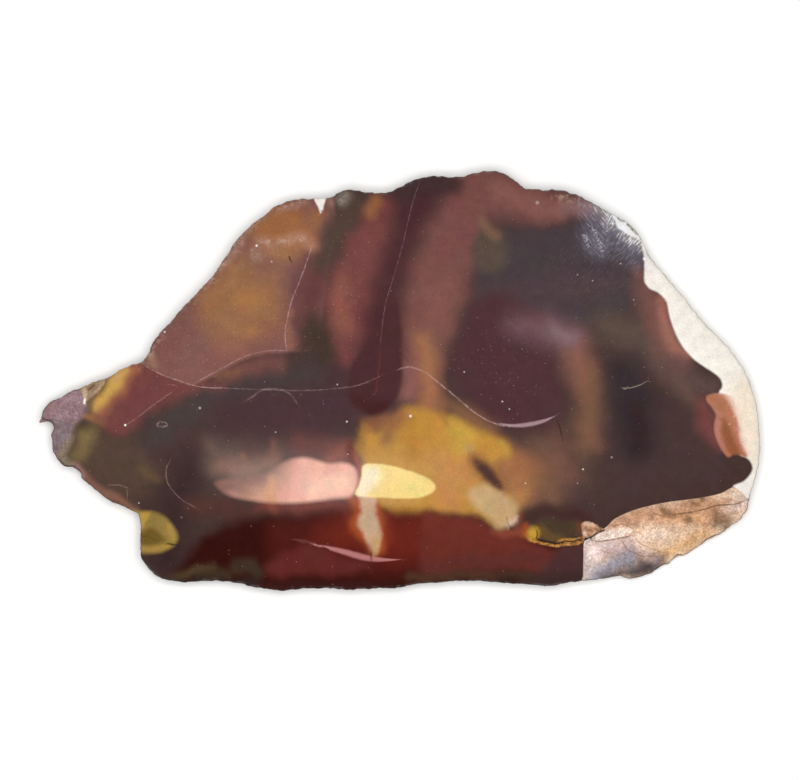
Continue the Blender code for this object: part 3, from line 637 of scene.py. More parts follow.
# The unpolished floors, whose colours lie over all the others.
FRACTURE_FLOOR = Region("fracture_floor", "floor_cream", 0.2, 0.02, (Outline(
    (583.2, 600), (583.2, 575), (583.5, 558), (584, 543), (588, 539), (597, 533.5), (607, 526.5),
    (614, 519.5), (626, 513.3), (640, 508.3), (655, 504.7), (672, 501.6), (690, 499.4), (708, 496.6),
    (722, 493), (733, 487.5), (741, 492), (752, 503), (790, 520), (720, 620), (640, 640)),), (
    dab("floor_pink", 1.8, (612, 524, 5), (634, 519, 8), (668, 513, 9), (700, 510, 12), (730, 506, 9)),
    Cloud("floor_orange", 2.4, Stroke((672, 518, 5), (688, 520, 7), (704, 521, 6)), Stroke((698, 504, 5)),
        strength=0.9),
    Cloud("floor_rose", 1.2, Stroke((648, 508, 2), (652, 518, 3)), Stroke((624, 520, 4), (636, 524, 3)),
        strength=0.7),
    dab("floor_tan", 2.0, (666, 553, 5), (688, 544, 6), (710, 531, 4)),
    dab("floor_lilac", 2.4, (590, 552, 10), (606, 546, 9), (630, 546, 7), strength=0.9),
    Cloud("floor_white", 1.8, Stroke((588, 542, 5), (589, 558, 6)), Stroke((600, 534, 4), (612, 532, 4)),
        strength=0.9),
    dab("floor_pearl", 2.4, (588, 570, 7), (600, 568, 6)),
    dab("floor_mauve", 2.0, (616, 552, 4), (634, 556, 5), strength=0.8),
    dab("floor_blue", 2.2, (592, 580, 6), (604, 574, 8), (612, 566, 9), (628, 560, 8)),
    dab("floor_dark", 2.4, (606, 578, 4), (630, 573, 5), (644, 567, 10), (660, 561, 6)),
    dab("floor_mauve", 1.8, (660, 562, 3), (650, 553, 4), (636, 551, 3), strength=0.6),
    dab("floor_slate", 1.0, (628, 566, 2.5), (631, 572, 3), strength=0.7),
    Cloud("floor_ivory", 0.9, Outline((591, 538), (600, 534), (610, 529), (622, 528), (630, 533), (618, 538),
        (602, 540))),
    dab("floor_ivory", 1.6, (640, 538, 4), (662, 532, 4), strength=0.6),
    dab("floor_ivory", 1.4, (733, 494, 3), (740, 499, 3), strength=0.6),
    Cloud("stain", 1.0, Stroke((661, 508, 2.5), (668, 512, 4), (674, 515, 2)), Stroke((703, 501, 3)),
        Stroke((692, 504, 2), (698, 505, 2)), Stroke((688, 521, 3.5)), Stroke((680, 515, 1.5)),
        strength=0.85),
    Cloud("stain", 1.8, Stroke((717, 512, 3), (716, 521, 5), (724, 520, 6)), Stroke((724, 526, 4)),
        strength=0.9),
    dab("floor_slate", 1.6, (732, 491, 2), (741, 497, 3), strength=0.35),
    dab("floor_white", 1.4, (736, 508, 4), (744, 506, 3), strength=0.8),
    Cloud("floor_ivory", 0.7, Stroke((722, 508, 1.5), (735, 503, 1.5)), Stroke((727, 511, 2)), strength=0.6),
))
CHIPPED_LIP = Region("chipped_lip", "chip_peach", 0.35, 0.35, (Outline(
    (583, 523.5), (592, 522.5), (597, 525.5), (601, 529), (604, 530.5), (597, 534), (591, 536.5), (586, 538),
    (583, 540)),), (
    Cloud("pale_spot_and_highlight", 0.5, Stroke((585, 524, 1.2), (593, 524.5, 1.8)), Stroke((585, 535, 2), (586, 538, 1)),
        strength=0.8),
    Cloud("chip_shadow", 0.5, Stroke((585, 529, 1.6), (592, 531, 1.6), (598, 529, 1)), Stroke((589, 536, 1)),
        strength=0.9),
))
TIP_FLOOR = Region("tip_floor", "lilac", 1.6, 0.1, (Outline(
    (79, 370), (82.5, 390), (84.5, 399), (85.5, 408), (82, 416.5), (77, 425), (73.5, 436), (69.5, 447),
    (66, 455), (70, 461.5), (77.5, 466), (81, 480), (50, 490), (20, 470), (20, 380), (50, 370)),), (
    dab("blue_grey", 2.0, (58, 426, 6), (68, 428, 8), (60, 442, 8)),
    Cloud("tip_olive", 1.8, Outline((80, 424), (96, 424), (96, 462), (73, 462), (70, 450), (71, 438),
        (75, 430))),
    dab("tip_shade", 1.4, (84, 426, 4), (77, 433, 4)),
    dab("sand", 1.6, (70, 440, 3), (66, 450, 6), (63, 459, 6), (72, 466, 4)),
    dab("tip_blush", 1.6, (48, 412, 4), (52, 404, 3)),
    dab("pale_spot_and_highlight", 0.8, (86, 396, 1.5), (85, 404, 1.8), strength=0.9),
))
RIND = Region("rind", "rind_tan", 0.6, 0.15, (Outline(
    (81, 386), (90, 381), (103, 376), (105, 382), (101, 389), (95, 394), (90, 398), (85, 401)),), (
    dab("rind_grey", 0.9, (98, 381, 4), (94, 388, 4), (90, 397, 3), strength=0.9),
    dab("rind_pale", 0.7, (85, 390, 2), (86, 397, 2), (84, 402, 1.5)),
    Cloud("stain", 0.6, Stroke((101, 389, 1.5)), Stroke((89, 390, 1), (92, 386, 1)), strength=0.8),
))
FLOORS = (FRACTURE_FLOOR, CHIPPED_LIP, TIP_FLOOR, RIND)


# The ends of a line: how much of its length fades, how much shows at the tip, and how thin a leaf gets.
END_FADE = 0.1
END_SHARE = 0.2
LEAF_TIP = 0.1


class Line:
    """A vein or crack: a smooth line, its width in mm, and how strongly it shows."""

    def __init__(self, width, strength, *points, swells=False):
        self.curve = smooth_curve(points, False)
        run = np.linspace(0.0, 1.0, len(self.curve))
        swell = np.sin(math.pi * run) if swells else np.ones(len(run))
        self.half_widths = np.maximum(swell, LEAF_TIP) * width * MILLIMETRE / 2 / PIXEL
        ends = ramp(run / END_FADE + END_SHARE) * ramp((1.0 - run) / END_FADE + END_SHARE)
        self.strengths = strength * ends


def leaf(width, strength, *points):
    """A line that swells midway."""
    return Line(width, strength, *points, swells=True)


VEINS = (
    Line(0.22, 0.42, (143, 365), (165, 376), (180, 381), (192, 385), (207, 387.5), (225, 388)),
    Line(0.20, 0.18, (222, 388), (245, 389), (275, 390), (305, 390.5), (335, 389)),
    Line(0.26, 0.18, (330, 389), (350, 387), (365, 383), (380, 376)),
    Line(0.22, 0.38, (313, 243), (308, 258), (302, 275), (292, 300), (287.5, 318), (285, 333), (286.5, 350)),
    Line(0.26, 0.42, (397, 370), (405, 367.5), (414, 368), (426, 373), (440, 384), (455, 396), (470, 409),
        (485, 419), (500, 425), (514, 426.5)),
    Line(0.15, 0.17, (421, 178), (412, 205), (405, 235), (398, 262), (391, 285), (386.5, 300), (383, 320),
        (380, 345)),
    Line(0.18, 0.22, (126, 425), (138, 417), (152, 406), (172, 392)),
    Line(0.20, 0.20, (171, 459), (166.5, 468), (166.5, 478), (170, 487), (181, 499), (198, 509)),
    Line(0.18, 0.22, (106, 485.5), (118, 485), (126.5, 487.5)),
    Line(0.26, 0.30, (156.5, 424), (160, 421.8), (165.5, 422.8), (167.5, 425), (164, 427), (158, 426.4),
        (156.5, 424)),
)
CROSS_VEINS = (
    Line(0.20, 0.28, (192, 384.5), (204, 378), (216, 371.5), (240, 358.5), (258, 352.5), (272, 350.5),
        (286, 350.5)),
    Line(0.18, 0.22, (127, 487.5), (127.5, 495)),
    Line(0.32, 0.16, (242, 403), (252, 397), (262, 390), (275, 389), (285, 391), (293, 397), (297, 404)),
)
BLOOD_VEINS = (
    Line(0.26, 0.45, (380.5, 350), (379.5, 362), (378.5, 372), (377, 382), (375.5, 394)),
    leaf(0.46, 0.6, (378.8, 368), (378, 373), (377.4, 378)),
    leaf(0.50, 0.5, (377, 387), (376, 391), (375.5, 394)),
    leaf(0.7, 0.6, (354, 446), (351, 455), (352, 463)),
)
FIBRES = (
    Line(0.20, 0.50, (623, 389.5), (632, 387.5), (640, 385), (645, 383)),
    Line(0.16, 0.30, (621, 388), (628, 387)),
)
# A painted highlight: the thin crescent of reflected light along the rolled base.
LOWER_CRESCENT_HIGHLIGHT = (
    leaf(1.3, 0.62, (308, 543.5), (326, 547.3), (344, 551.8), (358, 555.8), (372, 558.8), (386, 559.8),
        (401, 559.6)),
    leaf(0.9, 0.08, (290, 539), (302, 541), (314, 544.5), (326, 548)),
)
UPPER_CRESCENT = (
    leaf(0.9, 0.58, (496, 423), (514, 425.6), (530, 424.2), (545, 420.4), (556, 415.5)),
)
CRACKS = (
    Line(0.24, 0.7, (557, 420), (560, 428), (562, 437)),
    Line(0.24, 0.6, (589, 539), (595.5, 541.2), (602, 541.2), (617, 538.7), (631, 536)),
    leaf(0.36, 0.85, (164, 543.2), (170, 544), (180, 546)),
    Line(0.18, 0.30, (142, 537), (148, 536), (154, 540), (161, 541)),
    Line(0.24, 0.40, (88, 394), (90, 388.5), (94, 385.5), (97, 380)),
    Line(0.26, 0.4, (506.5, 517), (507.5, 522), (510, 527)),
    leaf(0.55, 0.5, (371.5, 549), (371, 556), (371.5, 564)),
    Line(0.26, 0.85, (536, 529), (537.5, 534), (536.5, 538.5), (545, 541), (553, 542.3), (558, 544),
        (563, 541.2), (572, 541.4), (583, 538.5)),
    Line(0.36, 0.85, (584, 539.5), (591, 537.5), (598, 532.5), (604, 530)),
    Line(0.22, 0.5, (594, 523), (598, 525.5), (601, 528.5)),
    leaf(0.35, 0.8, (289, 255), (290, 259), (292, 263)),
)
SEAMS = (
    Line(0.50, 0.8, (527, 537), (532, 540.5), (540, 542.8), (548, 544.4), (557, 546), (566, 544.6),
        (577, 543.8), (583, 540.5)),
    Line(0.45, 0.65, (558, 540.8), (566, 539.4), (575, 539.2), (583, 537.5)),
)
FLOOR_CRACKS = (
    Line(0.26, 0.75, (672, 517), (678, 514), (697.5, 511), (717, 505.5), (736, 504), (745, 500)),
    Line(0.24, 0.5, (652, 512), (662, 516), (672, 517)),
    Line(0.24, 0.5, (612, 527), (622, 524), (632, 528)),
    Line(0.26, 0.45, (621, 540), (628.7, 550), (642, 556), (656, 556)),
    Line(0.20, 0.4, (634, 536), (640, 543), (650, 548), (664, 553)),
    Line(0.20, 0.35, (600, 548), (607, 553), (616, 551)),
)
# Painted shadow: short dark marks along the outer rim by the white-painted chip.
RIM_SHADOW_MARKS = (
    leaf(0.6, 0.9, (616.5, 216.5), (621, 219.8), (626, 222)),
    Line(0.5, 0.9, (627, 223.5), (631, 227.5), (637, 234)),
)
# Painted glare along the grinding scratches of the frosted corner.
GLARE_STREAKS = (
    *(leaf(0.24, 0.36, (581 + 1.2 * row, 236 + 3.4 * row), (587 + 1.2 * row, 232 + 3.4 * row))
        for row in range(5)),
    *(leaf(0.26, 0.4, (590 + 1.3 * row, 228 + 3.6 * row), (596 + 1.3 * row, 224.5 + 3.6 * row))
        for row in range(8)),
    leaf(0.26, 0.60, (603, 221.5), (608, 218), (613.5, 215.5)),
    leaf(0.24, 0.60, (608.5, 226), (613.5, 217.5)),
    leaf(0.24, 0.55, (604, 214.5), (610, 210)),
    leaf(0.22, 0.50, (606, 217.5), (611, 213)),
    leaf(0.24, 0.50, (605, 232.5), (609.5, 230)),
    leaf(0.26, 0.60, (613.5, 233), (619, 228)),
    leaf(0.22, 0.45, (600, 226), (604, 222)),
    leaf(0.22, 0.50, (611, 224.5), (615.5, 219.5)),
    leaf(0.28, 0.65, (624, 243.5), (630, 237.5)),
    leaf(0.30, 0.70, (629, 245), (635, 239)),
    leaf(0.34, 0.80, (634, 246.5), (641, 240.5)),
    leaf(0.24, 0.55, (618, 240), (623, 235)),
    leaf(0.20, 0.35, (586, 222), (590, 227)),
)
# Each set of lines: its name, its colour, its lines, where its soft edge starts and ends in half widths, and
# how much it wanders and breaks up.
LINE_SETS = (
    ("gold_seam", "seam_gold", SEAMS, 0.4, 1.2, 0.9),
    ("lower_crescent", "crescent_pink", LOWER_CRESCENT_HIGHLIGHT, 0.3, 1.1, 0.1),
    ("upper_crescent", "crescent_lilac", UPPER_CRESCENT, 0.3, 1.1, 0.1),
    ("blood_veins", "vein_red", BLOOD_VEINS, 0.3, 1.3, 0.6),
    ("pale_veins", "vein_pink", VEINS, 0.45, 1.25, 1.0),
    ("cross_veins", "vein_pink", CROSS_VEINS, 0.45, 1.25, 1.0),
    ("pale_fibres", "fibre_pale", FIBRES, 0.45, 1.25, 0.2),
    ("floor_cracks", "stain", FLOOR_CRACKS, 0.45, 1.25, 0.6),
    ("frost_streaks", "streak", GLARE_STREAKS, 0.2, 1.25, 0.3),
    ("dark_cracks", "crack_dark", CRACKS, 0.45, 1.25, 0.4),
    ("khaki_chips", "khaki_olive", RIM_SHADOW_MARKS, 0.5, 1.2, 0.6),
)

# Bright specks and glints on the polish: (x, y, half width) in pixels, and how strongly each shows.
GLINTS = (
    (257, 246, 1.4, 0.8), (85, 403, 1.4, 1.0), (85.2, 401, 1.5, 1.0), (85.5, 399, 1.3, 1.0),
    (126, 425, 1.3, 0.95), (200.5, 408, 1.4, 0.4), (347, 421.5, 1.1, 0.7), (276, 432, 0.9, 0.4),
    (582.5, 469, 1.0, 0.7), (611, 457, 1.0, 0.4), (577, 483, 0.8, 0.3), (410.5, 416, 1.6, 0.7),
    (537, 203, 2.2, 0.2), (644, 259, 1.8, 1.0), (165, 332, 1.3, 0.6), (502, 401.5, 1.0, 0.6),
    (464, 372, 0.9, 0.5), (509, 409, 0.9, 0.5), (337.5, 384.5, 1.0, 0.4), (139, 503, 0.9, 0.5),
    (728.5, 424, 0.8, 0.5), (348, 454, 0.8, 0.4), (620, 264, 0.8, 0.5), (592, 281, 0.8, 0.35),
    (633, 300, 0.9, 0.3), (525, 483, 0.9, 0.5), (182, 517, 1.2, 0.1), (577, 275, 0.8, 0.3),
    (272, 262, 1.0, 0.4),
)

# Where the polish carries dust, frost with painted glare, and scuffs that are partly a painted highlight,
# and where the rim's broken line carries a strong painted dark shade.
MASKS = {
    "dust": Patch(9.0, Outline((150, 350), (190, 300), (230, 280), (290, 300), (300, 340), (250, 362),
        (190, 385)), Stroke((340, 250, 12), (345, 330, 12)), Stroke((480, 350, 20), (520, 370, 20)),
        Stroke((250, 240, 16), (300, 230, 14)), strength=0.9),
    # The frost: grinding scratches under a painted glare, a painted white highlight at its edge, and painted
    # glare on hairlines.
    "frost": Patch(5.0, Stroke((590, 210, 9), (606, 226, 15), (624, 240, 14), (640, 254, 10)),
        Stroke((594, 233, 9), (602, 242, 11))),
    "frost_edge_highlight": Patch(2.0, Stroke((600, 208, 3), (608, 214, 5), (613, 224, 4)), Stroke((622, 233, 4),
        (632, 240, 6), (641, 243, 5))),
    "hairline_glare": Patch(8.0, Stroke((575, 262, 22), (600, 275, 26))),
    # Pale scuffs near the rim, partly a painted highlight along the edge.
    "scuffs_and_highlight": Patch(1.6, Stroke((184, 306, 3), (206, 284, 3), (222, 262, 6), (236, 242, 7), (248, 226, 5),
        (268, 210, 4), (300, 200, 3)), Stroke((556, 194, 3), (580, 200, 5), (598, 206, 5)),
        Stroke((146, 356, 5), (158, 338, 3)), Stroke((264, 241, 3), (290, 239, 3), (306, 243, 3)),
        Stroke((255, 255, 5)), Stroke((342, 196, 5)), Stroke((100, 383, 2), (142, 362, 2.5)), strength=0.8),
    # Painted shade: where the dark line round the rim is strong.
    "rim_shade": Patch(12.0, Stroke((40, 420, 14), (60, 462, 14), (130, 508, 14), (150, 574, 14),
        (280, 588, 14), (440, 584, 14), (560, 584, 14), (650, 574, 12), (690, 556, 8), (744, 508, 6))),
}


class JasperSizes(bpy.types.PropertyGroup):
    """The slab's fine sizes, and how polished it is."""

    back_grid: length("Back grid", "Spacing of the mesh laid over the sawn back", 3.5)
    wall_relief: length("Wall relief", "Depth of the chips in the broken wall", 0.40)
    wall_chip: length("Wall chip", "Span of one chip in the broken wall", 2.2)
    wall_grain: length("Wall grain", "Depth of the fine grain on the broken wall", 0.10)
    floor_relief: length("Floor relief", "Depth of the grain on the unpolished floors", 0.14)
    floor_grain: length("Floor grain", "Span of one grain of the unpolished floors", 0.9)
    rim_relief: length("Rim relief", "Depth of the small chips along the rim", 0.44)
    rim_chip: length("Rim chip", "Span of one chip along the rim", 1.0)
    arris: length("Arris", "Width of the broken arris round the polish", 0.14)
    band_dip: number("Band dip", "How far the colours shift for each unit of depth", 0.45, 2.0)
    polish: number("Polish roughness", "Roughness of the polished face", 0.10)
    rawness: number("Raw roughness", "Roughness of broken stone", 0.82)


class JasperStage(bpy.types.PropertyGroup):
    """The floor, the lights and the camera."""

    floor: tone("Floor", 250, 250, 249)
    box_power: bpy.props.FloatProperty(
        name="Softbox power", description="Power of a softbox whose share is one", default=2.70, min=0.0,
        unit="POWER")
    lamp_glow: number("Lamp glow", "Brightness of the lamp whose reflection lies on the face", 2.6, 20.0)


SUBDIVISIONS = 2
MERGE_DISTANCE = 1e-6
# A face whose normal points up by more than this may belong to the slab's top.
FACE_UP = 0.5
BACK_DOWN = -0.99
ARRIS_CREASE = 0.9
# A fine vertex with at least this mark lies wholly on the face.
ON_FACE = 0.999
LEAST_WEIGHT = 0.001
POLISH_ROUNDS = 40
POLISH_FACTOR = 0.5
# Where the polish starts and is full, away from the rim and from the floors' edges, and how wide the band
# of chips along the rim is, in metres.
POLISH_CLEARANCE = (0.0004, 0.0014)
RIM_BAND = 0.0008
RIM_STEPS = 6
# The value of each texture that leaves the stone in place.
CHIP_LEVEL = 0.8
GRAIN_LEVEL = 0.6
FLOOR_LEVEL = 0.5
RIM_LEVEL = 0.42
# How far the colours lean across the slab for each step that they lean along it.
LEAN_ACROSS = 0.8
# The wall's colour sets in over this many widths of the arris.
WALL_BLEND = 3
POINTS_AT_ONCE = 8000
# Small pulls at the outline, in pixels: where, how far across and down, and how wide.
PULLS = (
    (41, 420, -2.6, 3.0, 6), (50, 426, 1.0, -0.6, 3.5), (60, 462, -1.4, 1.2, 12), (68, 469, 0.4, -1.6, 5),
    (108, 494, -0.8, 1.0, 22), (742, 508, 3.0, 1.9, 14), (715, 538, 1.0, 1.4, 16), (682, 556, 0.9, 1.4, 14),
    (139, 527, 1.0, 0.0, 10), (142, 560, -3.0, 0.6, 9), (185, 583, 0.0, 1.2, 14), (511, 584, 0.0, 0.4, 12),
    (441, 581, 0.0, 0.5, 12), (600, 578, 0.0, 0.6, 20), (645, 572, 0.6, 0.8, 16), (256, 588, 0.0, 0.4, 10),
    (192, 297, 1.0, 1.0, 12), (470, 172, 0.0, 1.6, 12), (138, 361, 0.6, 1.2, 8), (160, 580, 0.0, 0.8, 10),
)


def deselect_all():
    """Leaves nothing selected, so that the next operator acts on what it is meant for."""
    bpy.ops.object.select_all(action="DESELECT")


def copy_of(node, name):
    """A free copy of a CAD node, with nothing of the node's own standing."""
    deselect_all()
    node.select_set(True)
    bpy.context.view_layer.objects.active = node
    bpy.ops.object.duplicate()
    piece = bpy.context.active_object
    bpy.ops.object.parent_clear(type="CLEAR_KEEP_TRANSFORM")
    for key in list(piece.keys()):
        del piece[key]
    piece.name = name
    piece.data.name = name
    piece.data.materials.clear()
    return piece


def select_faces(piece, wanted):
    """Selects, in edit mode, the faces for which wanted(face) is true."""
    shape = bmesh.from_edit_mesh(piece.data)
    bpy.ops.mesh.select_mode(type="FACE")
    for face in shape.faces:
        face.select_set(bool(wanted(face)))
    bmesh.update_edit_mesh(piece.data)


def on_back(face):
    """Whether a face belongs to the sawn back."""
    return face.normal.z < BACK_DOWN and face.calc_center_median().z < MERGE_DISTANCE


def grid_back(piece, spacing):
    """Makes the sawn back one face and cuts it into a grid."""
    select_faces(piece, on_back)
    bpy.ops.mesh.dissolve_faces()
    for axis in (0, 1):
        normal = Vector((0.0, 0.0, 0.0))
        normal[axis] = 1.0
        place = slab_low[axis] + spacing
        while place < slab_high[axis] - spacing / 2:
            select_faces(piece, on_back)
            bpy.ops.mesh.bisect(plane_co=normal * place, plane_no=normal)
            place += spacing


def flood(start, wanted, barred=()):
    """The faces reached from the start face by face, over wanted faces and over no barred edge."""
    reached = {start}
    waiting = [start]
    while waiting:
        for edge in waiting.pop().edges:
            if edge in barred:
                continue
            for face in edge.link_faces:
                if face not in reached and wanted(face):
                    reached.add(face)
                    waiting.append(face)
    return reached


def points_up(face):
    """Whether a face could belong to the slab's top."""
    return face.normal.z > FACE_UP


def crease_arris(piece):
    """Keeps the line between the top and the wall sharp, and marks the top."""
    shape = bmesh.from_edit_mesh(piece.data)
    bpy.ops.mesh.select_all(action="DESELECT")
    bpy.ops.mesh.select_mode(type="EDGE")
    highest = max(shape.faces, key=lambda face: face.calc_center_median().z)
    lowest = min(shape.faces, key=lambda face: face.calc_center_median().z)
    top = flood(highest, points_up)
    wall = flood(lowest, lambda face: not points_up(face))
    arris = {edge for edge in shape.edges
        if any(face in top for face in edge.link_faces) and any(face in wall for face in edge.link_faces)}
    mark = shape.verts.layers.float.new("on_face")
    for face in flood(highest, lambda face: True, arris):
        for vertex in face.verts:
            vertex[mark] = 1.0
    for edge in arris:
        edge.select_set(True)
    bmesh.update_edit_mesh(piece.data)
    bpy.ops.transform.edge_crease(value=ARRIS_CREASE)


def apply_modifier(piece, kind, **settings):
    """Adds a modifier, sets it and applies it."""
    deselect_all()
    piece.select_set(True)
    bpy.context.view_layer.objects.active = piece
    bpy.ops.object.modifier_add(type=kind)
    modifier = piece.modifiers[-1]
    for name, value in settings.items():
        setattr(modifier, name, value)
    bpy.ops.object.modifier_apply(modifier=modifier.name)


def add_group(piece, name, weights):
    """A vertex group with one weight for each vertex."""
    group = piece.vertex_groups.new(name=name)
    for index in np.flatnonzero(weights > LEAST_WEIGHT):
        group.add([int(index)], float(weights[index]), "REPLACE")
    return name


def cloud_texture(name, span, depth):
    """Soft lumps about span across, with depth finer layers on them."""
    texture = bpy.data.textures.new(name, "CLOUDS")
    texture.noise_scale = span
    texture.noise_depth = depth
    return texture


def chip_texture(name, span):
    """Hollows about span across that meet in sharp ridges."""
    texture = bpy.data.textures.new(name, "VORONOI")
    texture.noise_scale = span
    return texture


def roughen(piece, texture, relief, level, group, direction="NORMAL"):
    """Pushes a group's vertices in and out by a texture, whose value at level leaves them in place."""
    apply_modifier(piece, "DISPLACE", texture=texture, strength=relief, mid_level=level, vertex_group=group,
        direction=direction)


def places_of(mesh):
    """Where each vertex is."""
    places = np.zeros(len(mesh.vertices) * 3)
    mesh.vertices.foreach_get("co", places)
    return places.reshape(-1, 3)


def fit_outline(piece):
    """Widens the stone below the rim, which the camera saw from farther off, and pulls at its outline."""
    places = places_of(piece.data)
    reach = 1.0 + (RIM_HEIGHT - places[:, 2:]) / VIEW_DISTANCE
    places[:, :2] = VIEW_CENTRE + (places[:, :2] - VIEW_CENTRE) * reach
    points = to_pixels(*places.T)
    for x, y, across, down, span in PULLS:
        share = np.exp(-((points - (x, y)) ** 2).sum(axis=1) / span ** 2)[:, None]
        places[:, :2] += share * PIXEL * np.array((across, -down))
    piece.data.vertices.foreach_set("co", places.ravel())
    piece.data.update()


class Survey:
    """Where each vertex of the fine mesh lies: in the plan, on the photograph, and from the rim."""

    def __init__(self, piece):
        self.places = places_of(piece.data)
        on_face = np.zeros(len(self.places))
        piece.data.attributes["on_face"].data.foreach_get("value", on_face)
        self.face = on_face > ON_FACE
        self.rim_gap = self.gap_to_rim(piece.data)
        self.below, self.over = self.depth_below_face()

    def gap_to_rim(self, mesh):
        """How far each vertex of the face lies from the rim in the plan."""
        edges = np.zeros(len(mesh.edges) * 2, int)
        mesh.edges.foreach_get("vertices", edges)
        edges = edges.reshape(-1, 2)
        leaving = edges[self.face[edges].sum(axis=1) == 1]
        on_rim = np.zeros(len(self.places), bool)
        on_rim[leaving[self.face[leaving]]] = True
        ends = self.places[edges[on_rim[edges].all(axis=1)], :2]
        shares = np.linspace(0.0, 1.0, RIM_STEPS)[:, None, None]
        line = (ends[:, 0] * (1.0 - shares) + ends[:, 1] * shares).reshape(-1, 2)
        tree = kdtree.KDTree(len(line))
        for index, (x, y) in enumerate(line):
            tree.insert((x, y, 0.0), index)
        tree.balance()
        gap = np.zeros(len(self.places))
        for index in np.flatnonzero(self.face & ~on_rim):
            x, y, _ = self.places[index]
            gap[index] = tree.find((x, y, 0.0))[2]
        return gap

    def depth_below_face(self):
        """How far each vertex lies below the face, and the face's height over it."""
        on_face = np.flatnonzero(self.face)
        tree = kdtree.KDTree(len(on_face))
        for index in on_face:
            tree.insert((self.places[index, 0], self.places[index, 1], 0.0), int(index))
        tree.balance()
        over = self.places[:, 2].copy()
        for index in np.flatnonzero(~self.face):
            _, nearest, _ = tree.find((self.places[index, 0], self.places[index, 1], 0.0))
            over[index] = self.places[nearest, 2]
        return np.maximum(over - self.places[:, 2], 0.0), over

    def pixels(self, dip):
        """Each vertex in the photograph's pixels, shifted as the colours lean with depth."""
        x = self.places[:, 0] + LEAN_ACROSS * dip * self.below
        y = self.places[:, 1] - dip * self.below
        return to_pixels(x, y, self.over)


def shape_stone(piece, sizes):
    """Refines the copy: a smooth polished face, a chipped wall and grainy floors."""
    bpy.ops.object.mode_set(mode="EDIT")
    bpy.ops.mesh.select_all(action="SELECT")
    bpy.ops.mesh.customdata_custom_splitnormals_clear()
    bpy.ops.mesh.remove_doubles(threshold=MERGE_DISTANCE)
    select_faces(piece, lambda face: abs(face.normal.z) < FACE_UP)
    bpy.ops.mesh.tris_convert_to_quads()
    grid_back(piece, sizes.back_grid)
    crease_arris(piece)
    bpy.ops.object.mode_set(mode="OBJECT")
    apply_modifier(piece, "SUBSURF", levels=SUBDIVISIONS, render_levels=SUBDIVISIONS)
    fit_outline(piece)

    survey = Survey(piece)
    points = survey.pixels(0.0)
    floors = np.maximum.reduce([floor.depth(points) for floor in FLOORS])
    near, clear = POLISH_CLEARANCE
    polish = ramp((survey.rim_gap - near) / (clear - near)) * ramp((-floors - near) / (clear - near))
    rough_floor = ramp(floors / near) * ramp(survey.rim_gap / near)
    height = survey.places[:, 2]
    wall = ramp(survey.below / near) * ramp((height - 2 * near) / near) * ~survey.face
    apply_modifier(piece, "SMOOTH", factor=POLISH_FACTOR, iterations=POLISH_ROUNDS,
        vertex_group=add_group(piece, "polish", polish))
    edge = ramp(1.0 - survey.rim_gap / RIM_BAND) * ramp(1.0 - survey.below / RIM_BAND)
    rim_group = add_group(piece, "nibbled", edge)
    wall_group = add_group(piece, "broken", wall)
    floor_group = add_group(piece, "granular", rough_floor)
    roughen(piece, chip_texture("wall_chips", sizes.wall_chip), sizes.wall_relief, CHIP_LEVEL, wall_group)
    roughen(piece, cloud_texture("wall_grain", sizes.wall_chip / 4, 3), sizes.wall_grain, GRAIN_LEVEL,
        wall_group)
    roughen(piece, cloud_texture("floor_grain", sizes.floor_grain, 4), sizes.floor_relief, FLOOR_LEVEL,
        floor_group, "Z")
    roughen(piece, cloud_texture("rim_chips", sizes.rim_chip, 2), sizes.rim_relief, RIM_LEVEL, rim_group)
    bpy.ops.object.shade_smooth()


def store(piece, name, values):
    """Keeps one number, or one colour, for each vertex, for the material to read."""
    kind, field = ("FLOAT", "value") if values.ndim == 1 else ("FLOAT_COLOR", "color")
    if values.ndim == 2:
        values = np.column_stack([values, np.ones(len(values))])
    attribute = piece.data.attributes.new(name, kind, "POINT")
    attribute.data.foreach_set(field, np.ascontiguousarray(values, np.float32).ravel())


def store_lines(piece, name, lines, points):
    """Keeps, for each vertex, the nearest line's side in half widths, its strength, and the distance."""
    starts = np.concatenate([line.curve[:-1] for line in lines])
    ends = np.concatenate([line.curve[1:] for line in lines])
    first_widths = np.concatenate([line.half_widths[:-1] for line in lines])
    last_widths = np.concatenate([line.half_widths[1:] for line in lines])
    strengths = np.concatenate([line.strengths[:-1] for line in lines])
    values = np.zeros((len(points), 3))
    values[:, 2] = LINE_REACH
    low, high = starts.min(axis=0) - LINE_REACH, starts.max(axis=0) + LINE_REACH
    rows = np.flatnonzero(((points > low) & (points < high)).all(axis=1))
    parts = max(1, len(rows) // POINTS_AT_ONCE)
    for part in np.array_split(rows, parts):
        gap, nearest, share = to_segments(points[part], starts, ends)
        span = ends[nearest] - starts[nearest]
        offset = points[part] - starts[nearest]
        side = np.sign(span[:, 0] * offset[:, 1] - span[:, 1] * offset[:, 0])
        width = first_widths[nearest] + (last_widths[nearest] - first_widths[nearest]) * share
        values[part, 0] = side * gap / width
        values[part, 1] = strengths[nearest]
        values[part, 2] = gap
    attribute = piece.data.attributes.new(name, "FLOAT_VECTOR", "POINT")
    attribute.data.foreach_set("vector", np.ascontiguousarray(values, np.float32).ravel())


def mark_stone(piece, colours, sizes):
    """Marks the colours, the lines and the kinds of surface on the fine mesh."""
    survey = Survey(piece)
    points = survey.pixels(sizes.band_dip)
    drifted = drift(points)
    for region in (*REGIONS, *FLOORS):
        if region.shapes:
            store(piece, region.name, region.depth(points))
        if region.clouds:
            store(piece, region.name + "_fill", region.blend(drifted, colours))
    for name, _, lines, *_ in LINE_SETS:
        store_lines(piece, name, lines, points)
    for name, mask in MASKS.items():
        store(piece, name, mask.share(drifted))
    store(piece, "rim_gap", survey.rim_gap)
    store(piece, "wall", ramp(survey.below / (WALL_BLEND * sizes.arris)) * ~survey.face)


# Where the nodes stand in the editor.
NODE_STEP = (220, -260)
NODE_COLUMNS = 12


